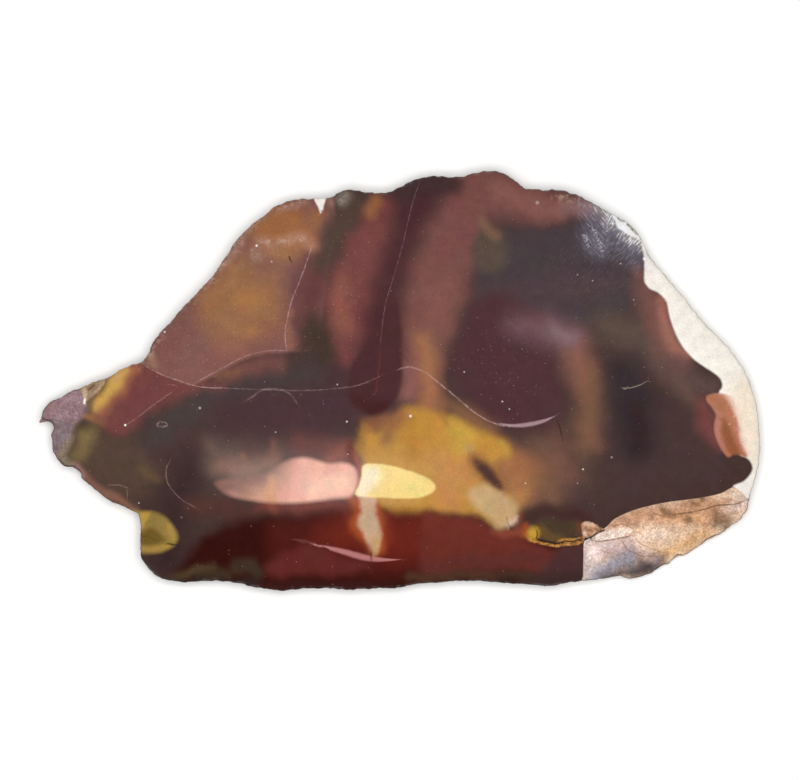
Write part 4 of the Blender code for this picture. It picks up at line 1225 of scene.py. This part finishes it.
class Nodes:
    """Adds nodes to one tree. An input is given as a number, a colour or another node's output."""

    def __init__(self, tree):
        self.tree = tree
        self.count = 0

    def add(self, kind, inputs=(), **settings):
        """A new node, with its settings set and its inputs linked."""
        node = self.tree.nodes.new(kind)
        row, column = divmod(self.count, NODE_COLUMNS)
        node.location = (NODE_STEP[0] * column, NODE_STEP[1] * row)
        self.count += 1
        for name, value in settings.items():
            setattr(node, name, value)
        for key, value in dict(inputs).items():
            self.link(value, node.inputs[key])
        return node

    def link(self, value, socket):
        """Leads an output to a socket, or sets the socket to a plain value."""
        if isinstance(value, bpy.types.NodeSocket):
            self.tree.links.new(value, socket)
        else:
            socket.default_value = value

    def math(self, operation, *values):
        """One step of arithmetic on numbers."""
        return self.add("ShaderNodeMath", enumerate(values), operation=operation).outputs[0]

    def vector(self, operation, *values):
        """One step of arithmetic on vectors."""
        return self.add("ShaderNodeVectorMath", enumerate(values), operation=operation).outputs[0]

    def product(self, first, *others):
        """The values multiplied together."""
        for other in others:
            first = self.math("MULTIPLY", first, other)
        return first

    def step(self, value, low, high):
        """0 below low, 1 above high and smooth between."""
        inputs = {"Value": value, "From Min": low, "From Max": high}
        return self.add("ShaderNodeMapRange", inputs, interpolation_type="SMOOTHSTEP").outputs["Result"]

    def spread(self, value, low, high):
        """A value from 0 to 1 spread out to run from low to high."""
        return self.math("MULTIPLY_ADD", value, high - low, low)

    def mix(self, factor, under, over, blend="MIX"):
        """One colour laid over another."""
        node = self.add("ShaderNodeMix", data_type="RGBA", blend_type=blend)
        for key, value in ((0, factor), (6, under), (7, over)):
            self.link(value, node.inputs[key])
        return node.outputs[2]

    def noise(self, vector, span, detail=2.0, roughness=0.5, output="Fac"):
        """Noise whose lumps are about span across, from 0 to 1."""
        inputs = {"Vector": vector, "Scale": 1.0 / span, "Detail": detail, "Roughness": roughness}
        return self.add("ShaderNodeTexNoise", inputs).outputs[output]

    def attribute(self, name, output="Fac"):
        """What the mesh carries under a name."""
        return self.add("ShaderNodeAttribute", attribute_name=name).outputs[output]

    def shade(self, colour, value):
        """The colour made lighter or darker by one number."""
        grey = self.add("ShaderNodeCombineXYZ", {"X": value, "Y": value, "Z": value}).outputs["Vector"]
        return self.mix(1.0, colour, grey, "MULTIPLY")

    def group(self, tree, **inputs):
        """A node group placed in the tree, with its inputs linked."""
        return self.add("ShaderNodeGroup", inputs, node_tree=tree).outputs


def new_group(name, inputs, outputs):
    """An empty shader group with named sockets: (its tree, a Nodes helper, its inputs, its output node)."""
    tree = bpy.data.node_groups.new(name, "ShaderNodeTree")
    for label, kind in inputs:
        tree.interface.new_socket(label, in_out="INPUT", socket_type="NodeSocket" + kind)
    for label, kind in outputs:
        tree.interface.new_socket(label, in_out="OUTPUT", socket_type="NodeSocket" + kind)
    nodes = Nodes(tree)
    given = nodes.add("NodeGroupInput").outputs
    return tree, nodes, given, nodes.add("NodeGroupOutput").inputs


def region_group():
    """Lays one colour over another inside a region, whose edge is a little soft and uneven."""
    tree, nodes, given, put = new_group(
        "Region",
        [("Under", "Color"), ("Fill", "Color"), ("Depth", "Float"), ("Softness", "Float"),
            ("Waver", "Float"), ("Noise", "Float")],
        [("Colour", "Color"), ("Mask", "Float")],
    )
    uneven = nodes.math("MULTIPLY_ADD", given["Noise"], given["Waver"], given["Depth"])
    share = nodes.math("ADD", nodes.math("DIVIDE", uneven, given["Softness"]), 0.5)
    mask = nodes.step(share, 0.0, 1.0)
    nodes.link(nodes.mix(mask, given["Under"], given["Fill"]), put["Colour"])
    nodes.link(mask, put["Mask"])
    return tree


# Past these distances from its middle, in pixels, a line starts to fade and is gone.
LINE_FADE = (5.0, 9.0)


def line_group():
    """Draws thin lines: each point knows its side of the nearest line, its strength and its distance."""
    tree, nodes, given, put = new_group(
        "Thin lines",
        [("Under", "Color"), ("Fill", "Color"), ("Lines", "Vector"), ("Inner", "Float"), ("Outer", "Float"),
            ("Wobble", "Float"), ("Break", "Float"), ("Wander", "Float")],
        [("Colour", "Color")],
    )
    parts = nodes.add("ShaderNodeSeparateXYZ", {"Vector": given["Lines"]}).outputs
    side = nodes.math("MULTIPLY_ADD", given["Wobble"], given["Wander"], parts["X"])
    core = nodes.step(nodes.math("ABSOLUTE", side), given["Outer"], given["Inner"])
    near = nodes.step(parts["Z"], LINE_FADE[1], LINE_FADE[0])
    broken = nodes.math("MULTIPLY_ADD", given["Break"], given["Wander"], 1.0)
    mask = nodes.product(core, parts["Y"], broken, near)
    nodes.link(nodes.mix(mask, given["Under"], given["Fill"]), put["Colour"])
    return tree


# How small and how faint a speck gets beside the largest and brightest, and how much of one is its core.
SPECK_LEAST = 0.5
SPECK_FAINT = 0.3
SPECK_CORE = 0.3


def speck_group():
    """Scattered round specks of uneven size and strength, as a mask."""
    tree, nodes, given, put = new_group(
        "Specks",
        [("Vector", "Vector"), ("Spacing", "Float"), ("Size", "Float"), ("Share", "Float")],
        [("Mask", "Float")],
    )
    scale = nodes.math("DIVIDE", 1.0, given["Spacing"])
    cells = nodes.add("ShaderNodeTexVoronoi", {"Vector": given["Vector"], "Scale": scale},
        voronoi_dimensions="2D").outputs
    tints = nodes.add("ShaderNodeSeparateColor", {"Color": cells["Color"]}).outputs
    largest = nodes.math("DIVIDE", given["Size"], given["Spacing"])
    radius = nodes.math("MULTIPLY", largest, nodes.spread(tints["Green"], SPECK_LEAST, 1.0))
    dot = nodes.step(cells["Distance"], radius, nodes.math("MULTIPLY", radius, SPECK_CORE))
    there = nodes.math("LESS_THAN", tints["Red"], given["Share"])
    strength = nodes.spread(tints["Blue"], SPECK_FAINT, 1.0)
    nodes.link(nodes.product(dot, there, strength), put["Mask"])
    return tree


SCRATCH_SOFTNESS = 0.14


def scratch_group():
    """Fine scratches that run one way, as a mask."""
    tree, nodes, given, put = new_group(
        "Scratches",
        [("Vector", "Vector"), ("Angle", "Float"), ("Spacing", "Float"), ("Length", "Float"),
            ("Cover", "Float")],
        [("Mask", "Float")],
    )
    turned = nodes.add("ShaderNodeVectorRotate", {"Vector": given["Vector"], "Angle": given["Angle"]},
        rotation_type="Z_AXIS").outputs["Vector"]
    grain = nodes.add("ShaderNodeCombineXYZ", {
        "X": nodes.math("DIVIDE", 1.0, given["Length"]), "Y": nodes.math("DIVIDE", 1.0, given["Spacing"]),
        "Z": 0.0}).outputs["Vector"]
    streaks = nodes.noise(nodes.vector("MULTIPLY", turned, grain), 1.0, 2.0, 0.6)
    full = nodes.math("ADD", given["Cover"], SCRATCH_SOFTNESS)
    nodes.link(nodes.step(streaks, given["Cover"], full), put["Mask"])
    return tree


# Broken stone is lumps, grit and pits: how high each of the last two stands beside the lumps, and the whole.
GRIT_HEIGHT = 0.35
PIT_HEIGHT = 0.25
RELIEF_HEIGHT = 0.5
GRIT_TONE = 0.5


def relief_group():
    """Broken stone: a height in millimetres, and a tone from 0 to 1 that follows it."""
    tree, nodes, given, put = new_group(
        "Broken stone",
        [("Vector", "Vector"), ("Grain", "Float")],
        [("Height", "Float"), ("Tone", "Float")],
    )
    fine = nodes.vector("SCALE", given["Vector"])
    nodes.link(nodes.math("DIVIDE", 1.0, given["Grain"]), fine.node.inputs["Scale"])
    lumps = nodes.noise(fine, 2.8, 5.0, 0.6)
    grit = nodes.noise(fine, 0.6, 3.0, 0.7)
    pits = nodes.add("ShaderNodeTexVoronoi", {"Vector": fine, "Scale": 1.0}).outputs["Distance"]
    height = nodes.math("MULTIPLY_ADD", grit, GRIT_HEIGHT, lumps)
    height = nodes.math("MULTIPLY_ADD", pits, PIT_HEIGHT, height)
    nodes.link(nodes.math("MULTIPLY", height, RELIEF_HEIGHT), put["Height"])
    nodes.link(nodes.step(nodes.math("MULTIPLY_ADD", grit, GRIT_TONE, lumps), 0.5, 1.0), put["Tone"])
    return tree


# The stone's noises: span in mm, detail, roughness, and what its least and its most stand for.
NOISES = {
    "waver": (2.4, 3.0, 0.6, -2.0, 2.0),
    "blotch": (1.6, 4.0, 0.65, 0.70, 1.10),
    "grain": (0.22, 2.0, 0.6, 0.76, 1.24),
    "pepper": (0.34, 3.0, 0.75, 0.02, 1.92),
    "wobble": (0.5, 2.0, 0.6, -1.2, 1.2),
    "smear": (11.0, 3.0, 0.6, -0.03, 0.03),
}
# Noises that are there in patches: span in mm, detail, roughness, and where a patch starts and is full.
PATCHES = {
    "floor": (1.3, 4.0, 0.65, 0.40, 0.60),
    "break": (0.7, 3.0, 0.6, 0.36, 0.62),
    "scuff": (0.9, 4.0, 0.7, 0.46, 0.66),
}
# The blotches in hue: span in mm, detail and roughness, how far each channel spreads, and from where.
HUE_NOISE = (4.0, 3.0, 0.6, "Color")
HUE_SPREAD = (0.28, 0.30, 0.34)
HUE_LEAST = (0.86, 0.85, 0.83)
HUE_ON_CREAM = 0.3
CREAM_BLEND = 0.1 * MILLIMETRE
# What the patches on the unpolished floors do to their colour.
PATCH_DARK = (0.87, 0.82, 0.80, 1.0)
PATCH_PALE = (1.07, 1.08, 1.10, 1.0)
# How much less, and how much more, of a line shows where it breaks and where it is whole.
BREAK_SHARE = (-0.6, 0.3)
# Specks of dust: their spacing and size, how many cells hold one off and on the dust, and how they show.
SPECK_SPACING = 0.72 * MILLIMETRE
SPECK_SIZE = 0.13 * MILLIMETRE
SPECK_SHARE = (0.03, 0.53)
SPECK_STRENGTH = 0.45
# Where a glint is gone and where it is full, in its own half widths.
GLINT_EDGE = (1.2, 0.4)
SCUFF_AND_HIGHLIGHT_STRENGTH = 0.62
# Scratches in the frost lean one way left of this column of the photograph and the other way right of it.
FROST_TURN = 606
FROST_ANGLES = (0.93, -0.87)
FROST_BLEND = 0.6 * MILLIMETRE
SCRATCH_SPACING = 0.26 * MILLIMETRE
SCRATCH_LENGTH = 1.3 * MILLIMETRE
SCRATCH_COVER = 0.50
# The noise that bends the scratches, and how far.
BEND_NOISE = (2.0, 1.0, 0.5, "Color")
BEND = (0.0003, 0.0003, 0.0)
# How strongly the painted glare on the frost, the painted white highlight at its edge and the painted glare
# on its hairlines show, between the scratches and on them.
GLARE_HAZE_SHARE = (0.15, 0.49)
EDGE_HIGHLIGHT_SHARE = (0.18, 0.93)
HAIR_GLARE_STRENGTH = 0.04
# Broken stone: its grain, how much dust its hollows and its lumps carry, and how dark and pale they are.
RAW_GRAIN = 0.9 * MILLIMETRE
RAW_DUST = (0.10, 0.65)
RAW_TONE = (0.82, 1.18)
# The arris and the painted dark shade line along it: where it is gone and full, in widths of the arris, how
# it wavers, and how strongly the painted shade shows.
ARRIS_EDGE = (1.5, 0.4)
ARRIS_WAVER = 0.05 * MILLIMETRE
ARRIS_SHARE = (0.20, 0.90)
ARRIS_ON_CREAM = 0.45
ARRIS_ROUGH = 0.8
FROST_ROUGH = 0.30
FROST_RELIEF = 0.02
BUMP_DISTANCE = 0.4 * MILLIMETRE
REFRACTION = 1.54


class StoneSurface:
    """The stone's surface, built up in one material from what the mesh carries."""

    def __init__(self, material, colours, sizes):
        self.nodes = nodes = Nodes(material.node_tree)
        self.colours, self.sizes = colours, sizes
        self.place = nodes.add("ShaderNodeTexCoord").outputs["Object"]
        self.region_tree = region_group()
        self.waver = self.spread_noise("waver")
        self.cream = nodes.step(nodes.attribute("cream"), -CREAM_BLEND, CREAM_BLEND)
        self.wall = nodes.attribute("wall")
        self.face = nodes.math("SUBTRACT", 1.0, self.wall)

    def tint(self, name):
        """One of the colours that a user can change."""
        return tuple(getattr(self.colours, name))

    def noise(self, span, *settings):
        """Noise all through the stone, its span in mm."""
        return self.nodes.noise(self.place, span * MILLIMETRE, *settings)

    def spread_noise(self, name):
        """One of NOISES, from its least to its most."""
        *settings, low, high = NOISES[name]
        return self.nodes.spread(self.noise(*settings), low, high)

    def patches(self, name):
        """One of PATCHES, as a mask."""
        *settings, start, full = PATCHES[name]
        return self.nodes.step(self.noise(*settings), start, full)

    def fill(self, region):
        """The colour inside a region."""
        if region.clouds:
            return self.nodes.attribute(region.name + "_fill", "Color")
        return self.tint(region.colour)

    def lay(self, region, under):
        """A region laid over a colour: the new colour and the region's mask."""
        return self.nodes.group(self.region_tree, Under=under, Fill=self.fill(region), Noise=self.waver,
            Softness=region.softness, Waver=region.waver, Depth=self.nodes.attribute(region.name))

    def lay_regions(self):
        """The colours inside the stone, among them the painted highlights and glare, with blotches in hue
        and in brightness and a fine grain.
        """
        nodes = self.nodes
        colour = self.fill(REGIONS[0])
        for region in REGIONS[1:]:
            colour = self.lay(region, colour)["Colour"]
        hue = nodes.vector("MULTIPLY_ADD", self.noise(*HUE_NOISE), HUE_SPREAD, HUE_LEAST)
        colour = nodes.mix(nodes.spread(self.cream, 1.0, HUE_ON_CREAM), colour, hue, "MULTIPLY")
        return nodes.shade(colour, nodes.product(self.spread_noise("blotch"), self.spread_noise("grain")))

    def lay_floors(self, colour):
        """The unpolished floors, speckled with dark pores and pale grains, and the mask of all raw stone."""
        nodes = self.nodes
        raw = self.wall
        for floor in FLOORS:
            laid = self.lay(floor, colour)
            colour = laid["Colour"]
            raw = nodes.math("MAXIMUM", raw, laid["Mask"])
        patch = nodes.mix(self.patches("floor"), PATCH_DARK, PATCH_PALE)
        speckled = nodes.mix(1.0, nodes.shade(colour, self.spread_noise("pepper")), patch, "MULTIPLY")
        return nodes.mix(nodes.math("SUBTRACT", raw, self.wall), colour, speckled), raw

    def lay_lines(self, colour):
        """Lines that wander a little and come and go."""
        nodes = self.nodes
        tree = line_group()
        wobble = self.spread_noise("wobble")
        broken = nodes.spread(self.patches("break"), *BREAK_SHARE)
        for name, tint, _, inner, outer, wander in LINE_SETS:
            marks = nodes.attribute(name, "Vector")
            colour = nodes.group(tree, Under=colour, Fill=self.tint(tint), Lines=marks, Inner=inner,
                Outer=outer, Wobble=wobble, Break=broken, Wander=wander)["Colour"]
        return colour

    def lay_specks(self, colour, polished):
        """Specks of dust and pits in the polish, and the bright specks and painted glints at their own
        places.
        """
        nodes = self.nodes
        share = nodes.spread(nodes.attribute("dust"), *SPECK_SHARE)
        specks = nodes.group(speck_group(), Vector=self.place, Spacing=SPECK_SPACING, Size=SPECK_SIZE,
            Share=share)["Mask"]
        colour = nodes.mix(nodes.product(specks, polished, SPECK_STRENGTH), colour, self.tint("vein_pink"))
        # Painted glints and bright specks, each at its own place.
        for x, y, half_width, strength in GLINTS:
            offset = nodes.vector("SUBTRACT", self.place, (*to_plan(x, y), 0.0))
            flat = nodes.vector("MULTIPLY", offset, (1.0, 1.0, 0.0))
            gap = nodes.add("ShaderNodeVectorMath", {0: flat}, operation="LENGTH").outputs["Value"]
            gone, full = (edge * half_width * PIXEL for edge in GLINT_EDGE)
            spot = nodes.product(nodes.step(gap, gone, full), self.face, strength)
            colour = nodes.mix(spot, colour, self.tint("glint"))
        return colour

    def lay_scuffs_and_highlight(self, colour, polished):
        """Pale scuffs that the polish left near the rim, partly a painted highlight along the rim's edge."""
        nodes = self.nodes
        scuffs_and_highlight = nodes.product(nodes.attribute("scuffs_and_highlight"), self.patches("scuff"), polished, SCUFF_AND_HIGHLIGHT_STRENGTH)
        return nodes.mix(scuffs_and_highlight, colour, self.tint("scuff"))

    def lay_frost_and_glare(self, colour, polished):
        """The scratches of the grinding under a grey painted glare, with a painted white highlight at the
        frost's edge and painted glare on hairlines: the new colour, the frost and its scratches.
        """
        nodes = self.nodes
        tree = scratch_group()
        bent = nodes.vector("MULTIPLY_ADD", self.noise(*BEND_NOISE), BEND, self.place)
        left, right = (nodes.group(tree, Vector=bent, Angle=angle, Spacing=SCRATCH_SPACING,
            Length=SCRATCH_LENGTH, Cover=SCRATCH_COVER)["Mask"] for angle in FROST_ANGLES)
        across = nodes.add("ShaderNodeSeparateXYZ", {"Vector": self.place}).outputs["X"]
        turn = to_plan(FROST_TURN, 0)[0]
        scratches = nodes.mix(nodes.step(across, turn - FROST_BLEND, turn + FROST_BLEND), left, right)
        frost = nodes.product(nodes.attribute("frost"), polished)
        haze = nodes.product(frost, nodes.spread(scratches, *GLARE_HAZE_SHARE))
        colour = nodes.mix(haze, colour, self.tint("frost"))
        edge_highlight = nodes.product(nodes.attribute("frost_edge_highlight"), polished, nodes.spread(scratches, *EDGE_HIGHLIGHT_SHARE))
        colour = nodes.mix(edge_highlight, colour, self.tint("glint"))
        hair_glare = nodes.product(nodes.attribute("hairline_glare"), right, polished, HAIR_GLARE_STRENGTH)
        return nodes.mix(hair_glare, colour, self.tint("frost")), frost, scratches

    def break_rim(self, colour, raw, relief):
        """Broken stone, dustier than the polish, and the arris round the face, darkened by a painted shade
        line.
        """
        nodes = self.nodes
        dust = nodes.product(self.wall, nodes.spread(relief["Tone"], *RAW_DUST))
        colour = nodes.mix(dust, colour, self.tint("raw_dust"))
        gap = nodes.math("MULTIPLY_ADD", self.waver, ARRIS_WAVER, nodes.attribute("rim_gap"))
        gone, full = (edge * self.sizes.arris for edge in ARRIS_EDGE)
        arris = nodes.product(nodes.step(gap, gone, full), self.face)
        # The painted shade line along the arris: dark on the stone, khaki on the cream.
        line = nodes.mix(self.cream, self.tint("rim_shade_line"), self.tint("rim_shade_khaki"))
        strong = nodes.spread(nodes.attribute("rim_shade"), *ARRIS_SHARE)
        strong = nodes.math("MULTIPLY_ADD", self.cream, ARRIS_ON_CREAM, strong)
        colour = nodes.mix(nodes.product(arris, strong), colour, line)
        return nodes.mix(raw, colour, nodes.shade(colour, nodes.spread(relief["Tone"], *RAW_TONE))), arris

    def finish(self, colour, raw, arris, frost, scratches, relief):
        """How rough the stone is, the relief that is too fine for the mesh, and its shader."""
        nodes, sizes = self.nodes, self.sizes
        rough = nodes.math("MAXIMUM", raw, nodes.product(arris, ARRIS_ROUGH))
        polish = nodes.math("ADD", self.spread_noise("smear"), sizes.polish)
        polish = nodes.math("MULTIPLY_ADD", frost, FROST_ROUGH, polish)
        roughness = nodes.math("MULTIPLY_ADD", rough, nodes.math("SUBTRACT", sizes.rawness, polish), polish)
        height = nodes.product(relief["Height"], rough)
        height = nodes.math("MULTIPLY_ADD", nodes.product(frost, scratches), FROST_RELIEF, height)
        bump = nodes.add("ShaderNodeBump", {"Strength": 1.0, "Distance": BUMP_DISTANCE, "Height": height})
        surface = nodes.add("ShaderNodeBsdfPrincipled", {"Base Color": colour, "Roughness": roughness,
            "IOR": REFRACTION, "Normal": bump.outputs["Normal"]})
        nodes.add("ShaderNodeOutputMaterial", {"Surface": surface.outputs["BSDF"]})


def empty_material(name):
    """A material whose nodes are still to be added."""
    material = bpy.data.materials.new(name)
    material.use_nodes = True
    material.node_tree.nodes.clear()
    return material


def stone_material(colours, sizes):
    """The whole stone in one material: colours with painted highlights, lines, specks and painted glints,
    then scuffs, frost with painted glare, broken rim with a painted shade line, and finish.
    """
    material = empty_material("polished_jasper")
    stone = StoneSurface(material, colours, sizes)
    colour, raw = stone.lay_floors(stone.lay_regions())
    polished = stone.nodes.math("SUBTRACT", 1.0, raw)
    colour = stone.lay_specks(stone.lay_lines(colour), polished)
    colour, frost, scratches = stone.lay_frost_and_glare(stone.lay_scuffs_and_highlight(colour, polished), polished)
    relief = stone.nodes.group(relief_group(), Vector=stone.place, Grain=RAW_GRAIN)
    colour, arris = stone.break_rim(colour, raw, relief)
    stone.finish(colour, raw, arris, frost, scratches, relief)
    return material


class JASPER_OT_slab(bpy.types.Operator):
    """Model the jasper slab: refine the sawn shape, mark its colours and give it its polish"""

    bl_idname = "jasper.slab"
    bl_label = "Jasper Slab"

    def execute(self, context):
        colours, sizes = context.scene.jasper_colours, context.scene.jasper_sizes
        piece = copy_of(frame["nodes"][NODE], PIECE)
        shape_stone(piece, sizes)
        mark_stone(piece, colours, sizes)
        piece.data.materials.append(stone_material(colours, sizes))
        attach(piece, BODY)
        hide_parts(NODE)
        return {"FINISHED"}


FLOOR_SIZE = 6.0
FLOOR_GAP = 0.00005
# Softboxes round the slab: azimuth and elevation in degrees, and share of the softbox power.
SOFTBOXES = ((20, 74, 0.3), (110, 74, 0.3), (200, 74, 0.3), (290, 74, 0.3), (0, 90, 2.6))
SOFTBOX_DISTANCE = 0.95
SOFTBOX_SIZE = (0.40, 0.40)
# The lamp's reflection on the face: its middle and its size, in pixels of the photograph.
REFLECTION_MIDDLE = (325, 481)
REFLECTION_SIZE = (200, 34)
LAMP_HEIGHT = 0.31
# How far round a place the slope of the face is taken, and from how high up it is felt for.
SLOPE_REACH = 0.0015
FEELER_HEIGHT = 1.0
FACE_HEIGHT = 0.0080
SKY_DARK = 0.008
SKY_BRIGHT = 0.15
# How high up the sky starts to darken and where it is dark, as the sine of the elevation.
SKY_FADE = (0.12, 0.55)
MOTTLE_SPAN = 0.3
MOTTLE = (0.99, 1.01)
FLOOR_ROUGHNESS = 0.9
NEAREST_SEEN = 0.01


def stage_material(floor):
    """The pale floor, very faintly mottled."""
    material = empty_material("pale_floor")
    nodes = Nodes(material.node_tree)
    place = nodes.add("ShaderNodeTexCoord").outputs["Object"]
    colour = nodes.shade(floor, nodes.spread(nodes.noise(place, MOTTLE_SPAN), *MOTTLE))
    surface = nodes.add("ShaderNodeBsdfPrincipled", {"Base Color": colour, "Roughness": FLOOR_ROUGHNESS})
    nodes.add("ShaderNodeOutputMaterial", {"Surface": surface.outputs["BSDF"]})
    return material


def aim(item, target):
    """Turns a light to look at a place."""
    direction = Vector(target) - item.location
    item.rotation_euler = direction.to_track_quat("-Z", "Y").to_euler()


def add_light(name, shape, size, power, place, target):
    """An area light at a place, looking at another."""
    bpy.ops.object.light_add(type="AREA", location=place)
    light = bpy.context.active_object
    light.name = name
    light.data.shape = shape
    light.data.size, light.data.size_y = size
    light.data.energy = power
    aim(light, target)
    return light


def make_sky():
    """A studio's room: pale round the horizon and dark overhead, so that the face mirrors the dark."""
    world = bpy.data.worlds.new("studio")
    world.use_nodes = True
    world.node_tree.nodes.clear()
    nodes = Nodes(world.node_tree)
    up = nodes.add("ShaderNodeSeparateXYZ", {"Vector": nodes.add("ShaderNodeTexCoord").outputs["Generated"]})
    share = nodes.step(up.outputs["Z"], *SKY_FADE)
    colour = nodes.mix(share, (SKY_BRIGHT,) * 3 + (1.0,), (SKY_DARK,) * 3 + (1.0,))
    background = nodes.add("ShaderNodeBackground", {"Color": colour, "Strength": 1.0})
    nodes.add("ShaderNodeOutputWorld", {"Surface": background.outputs["Background"]})
    bpy.context.scene.world = world


def height_at(piece, x, y):
    """The height of the slab's face over a place in the plan."""
    hit, place, _, _ = piece.ray_cast(Vector((x, y, FEELER_HEIGHT)), Vector((0.0, 0.0, -1.0)))
    if not hit:
        raise RuntimeError("The lamp's reflection lies off the slab.")
    return place.z


def slope(piece, x, y, across, along):
    """How steeply the face rises over a step across or along the plan."""
    rise = height_at(piece, x + across, y + along) - height_at(piece, x - across, y - along)
    return rise / (2 * SLOPE_REACH)


def mirrored(piece, eye, x, y):
    """Where the camera's ray through a pixel, mirrored by the face, meets the lamp's height."""
    x, y = to_plan(x, y)
    place = Vector((x, y, height_at(piece, x, y)))
    rises = (slope(piece, x, y, SLOPE_REACH, 0.0), slope(piece, x, y, 0.0, SLOPE_REACH))
    normal = Vector((-rises[0], -rises[1], 1.0)).normalized()
    ray = (place - eye).normalized().reflect(normal)
    return place + ray * ((FACE_HEIGHT + LAMP_HEIGHT - place.z) / ray.z)


def add_floor(colour):
    """The floor under the slab."""
    deselect_all()
    bpy.ops.mesh.primitive_plane_add(size=FLOOR_SIZE, location=(0.0, 0.0, 0.0))
    floor = bpy.context.active_object
    floor.name = "floor"
    floor.data.transform(Matrix.Translation((0.0, 0.0, -FLOOR_GAP)))
    floor.data.materials.append(stage_material(colour))


def add_softboxes(power):
    """Soft light from all round, which the polish doesn't mirror."""
    for index, (azimuth, elevation, share) in enumerate(SOFTBOXES):
        turn, rise = math.radians(azimuth), math.radians(elevation)
        place = (
            SOFTBOX_DISTANCE * math.sin(turn) * math.cos(rise),
            -SOFTBOX_DISTANCE * math.cos(turn) * math.cos(rise),
            SOFTBOX_DISTANCE * math.sin(rise),
        )
        light = add_light(f"softbox_{index + 1}", "RECTANGLE", SOFTBOX_SIZE, power * share, place,
            (0.0, 0.0, FACE_HEIGHT))
        light.visible_glossy = False


def add_camera():
    """The camera straight above the slab."""
    bpy.ops.object.camera_add()
    camera = bpy.context.active_object
    camera.name = "overhead_camera"
    camera.data.lens = FOCAL_LENGTH
    camera.data.sensor_width = SENSOR_WIDTH
    camera.data.clip_start = NEAREST_SEEN
    camera.location = (*VIEW_CENTRE, RIM_HEIGHT + VIEW_DISTANCE)
    camera.rotation_euler = (0.0, 0.0, 0.0)
    bpy.context.scene.camera = camera
    return camera


def add_lamp(eye, glow):
    """The lamp, where the face, as a mirror, shows it to the camera at the chosen place."""
    piece = bpy.data.objects[PIECE]
    x, y = REFLECTION_MIDDLE
    reach_x, reach_y = (size / 2 for size in REFLECTION_SIZE)
    place = mirrored(piece, eye, x, y)
    width = (mirrored(piece, eye, x + reach_x, y) - mirrored(piece, eye, x - reach_x, y)).length
    depth = (mirrored(piece, eye, x, y + reach_y) - mirrored(piece, eye, x, y - reach_y)).length
    power = glow * math.pi * (math.pi / 4 * width * depth)
    lamp = add_light("lamp", "ELLIPSE", (width, depth), power, place, (*place.xy, 0.0))
    lamp.visible_camera = False


class JASPER_OT_stage(bpy.types.Operator):
    """Set up the pale floor, the soft lights and the camera over the slab"""

    bl_idname = "jasper.stage"
    bl_label = "Stage"

    def execute(self, context):
        stage = context.scene.jasper_stage
        add_floor(tuple(stage.floor))
        make_sky()
        add_softboxes(stage.box_power)
        camera = add_camera()
        add_lamp(camera.location.copy(), stage.lamp_glow)
        context.scene.view_settings.view_transform = "Standard"
        return {"FINISHED"}


class JASPER_PT_panel(bpy.types.Panel):
    """Lists the steps that build the slab and its stage"""

    bl_label = "Jasper Slab"
    bl_idname = "JASPER_PT_panel"
    bl_space_type = "VIEW_3D"
    bl_region_type = "UI"
    bl_category = "Jasper"

    def draw(self, context):
        column = self.layout.column()
        for operator in OPERATORS:
            column.operator(operator.bl_idname)
        for group in ("jasper_sizes", "jasper_stage", "jasper_colours"):
            settings = getattr(context.scene, group)
            box = self.layout.box()
            for name in settings.__annotations__:
                box.prop(settings, name)


OPERATORS = (JASPER_OT_slab, JASPER_OT_stage)
SETTINGS = (("jasper_colours", JasperColours), ("jasper_sizes", JasperSizes), ("jasper_stage", JasperStage))


def register():
    """Makes the settings, the operators and the panel known."""
    for name, group in SETTINGS:
        bpy.utils.register_class(group)
        setattr(bpy.types.Scene, name, bpy.props.PointerProperty(type=group))
    for item in (*OPERATORS, JASPER_PT_panel):
        bpy.utils.register_class(item)


def unregister():
    """Takes them away again, in the other order."""
    for item in (JASPER_PT_panel, *reversed(OPERATORS)):
        bpy.utils.unregister_class(item)
    for name, group in reversed(SETTINGS):
        delattr(bpy.types.Scene, name)
        bpy.utils.unregister_class(group)


def main():
    """Builds the slab and its stage."""
    register()
    bpy.ops.jasper.slab()
    bpy.ops.jasper.stage()


if __name__ == "__main__":
    main()
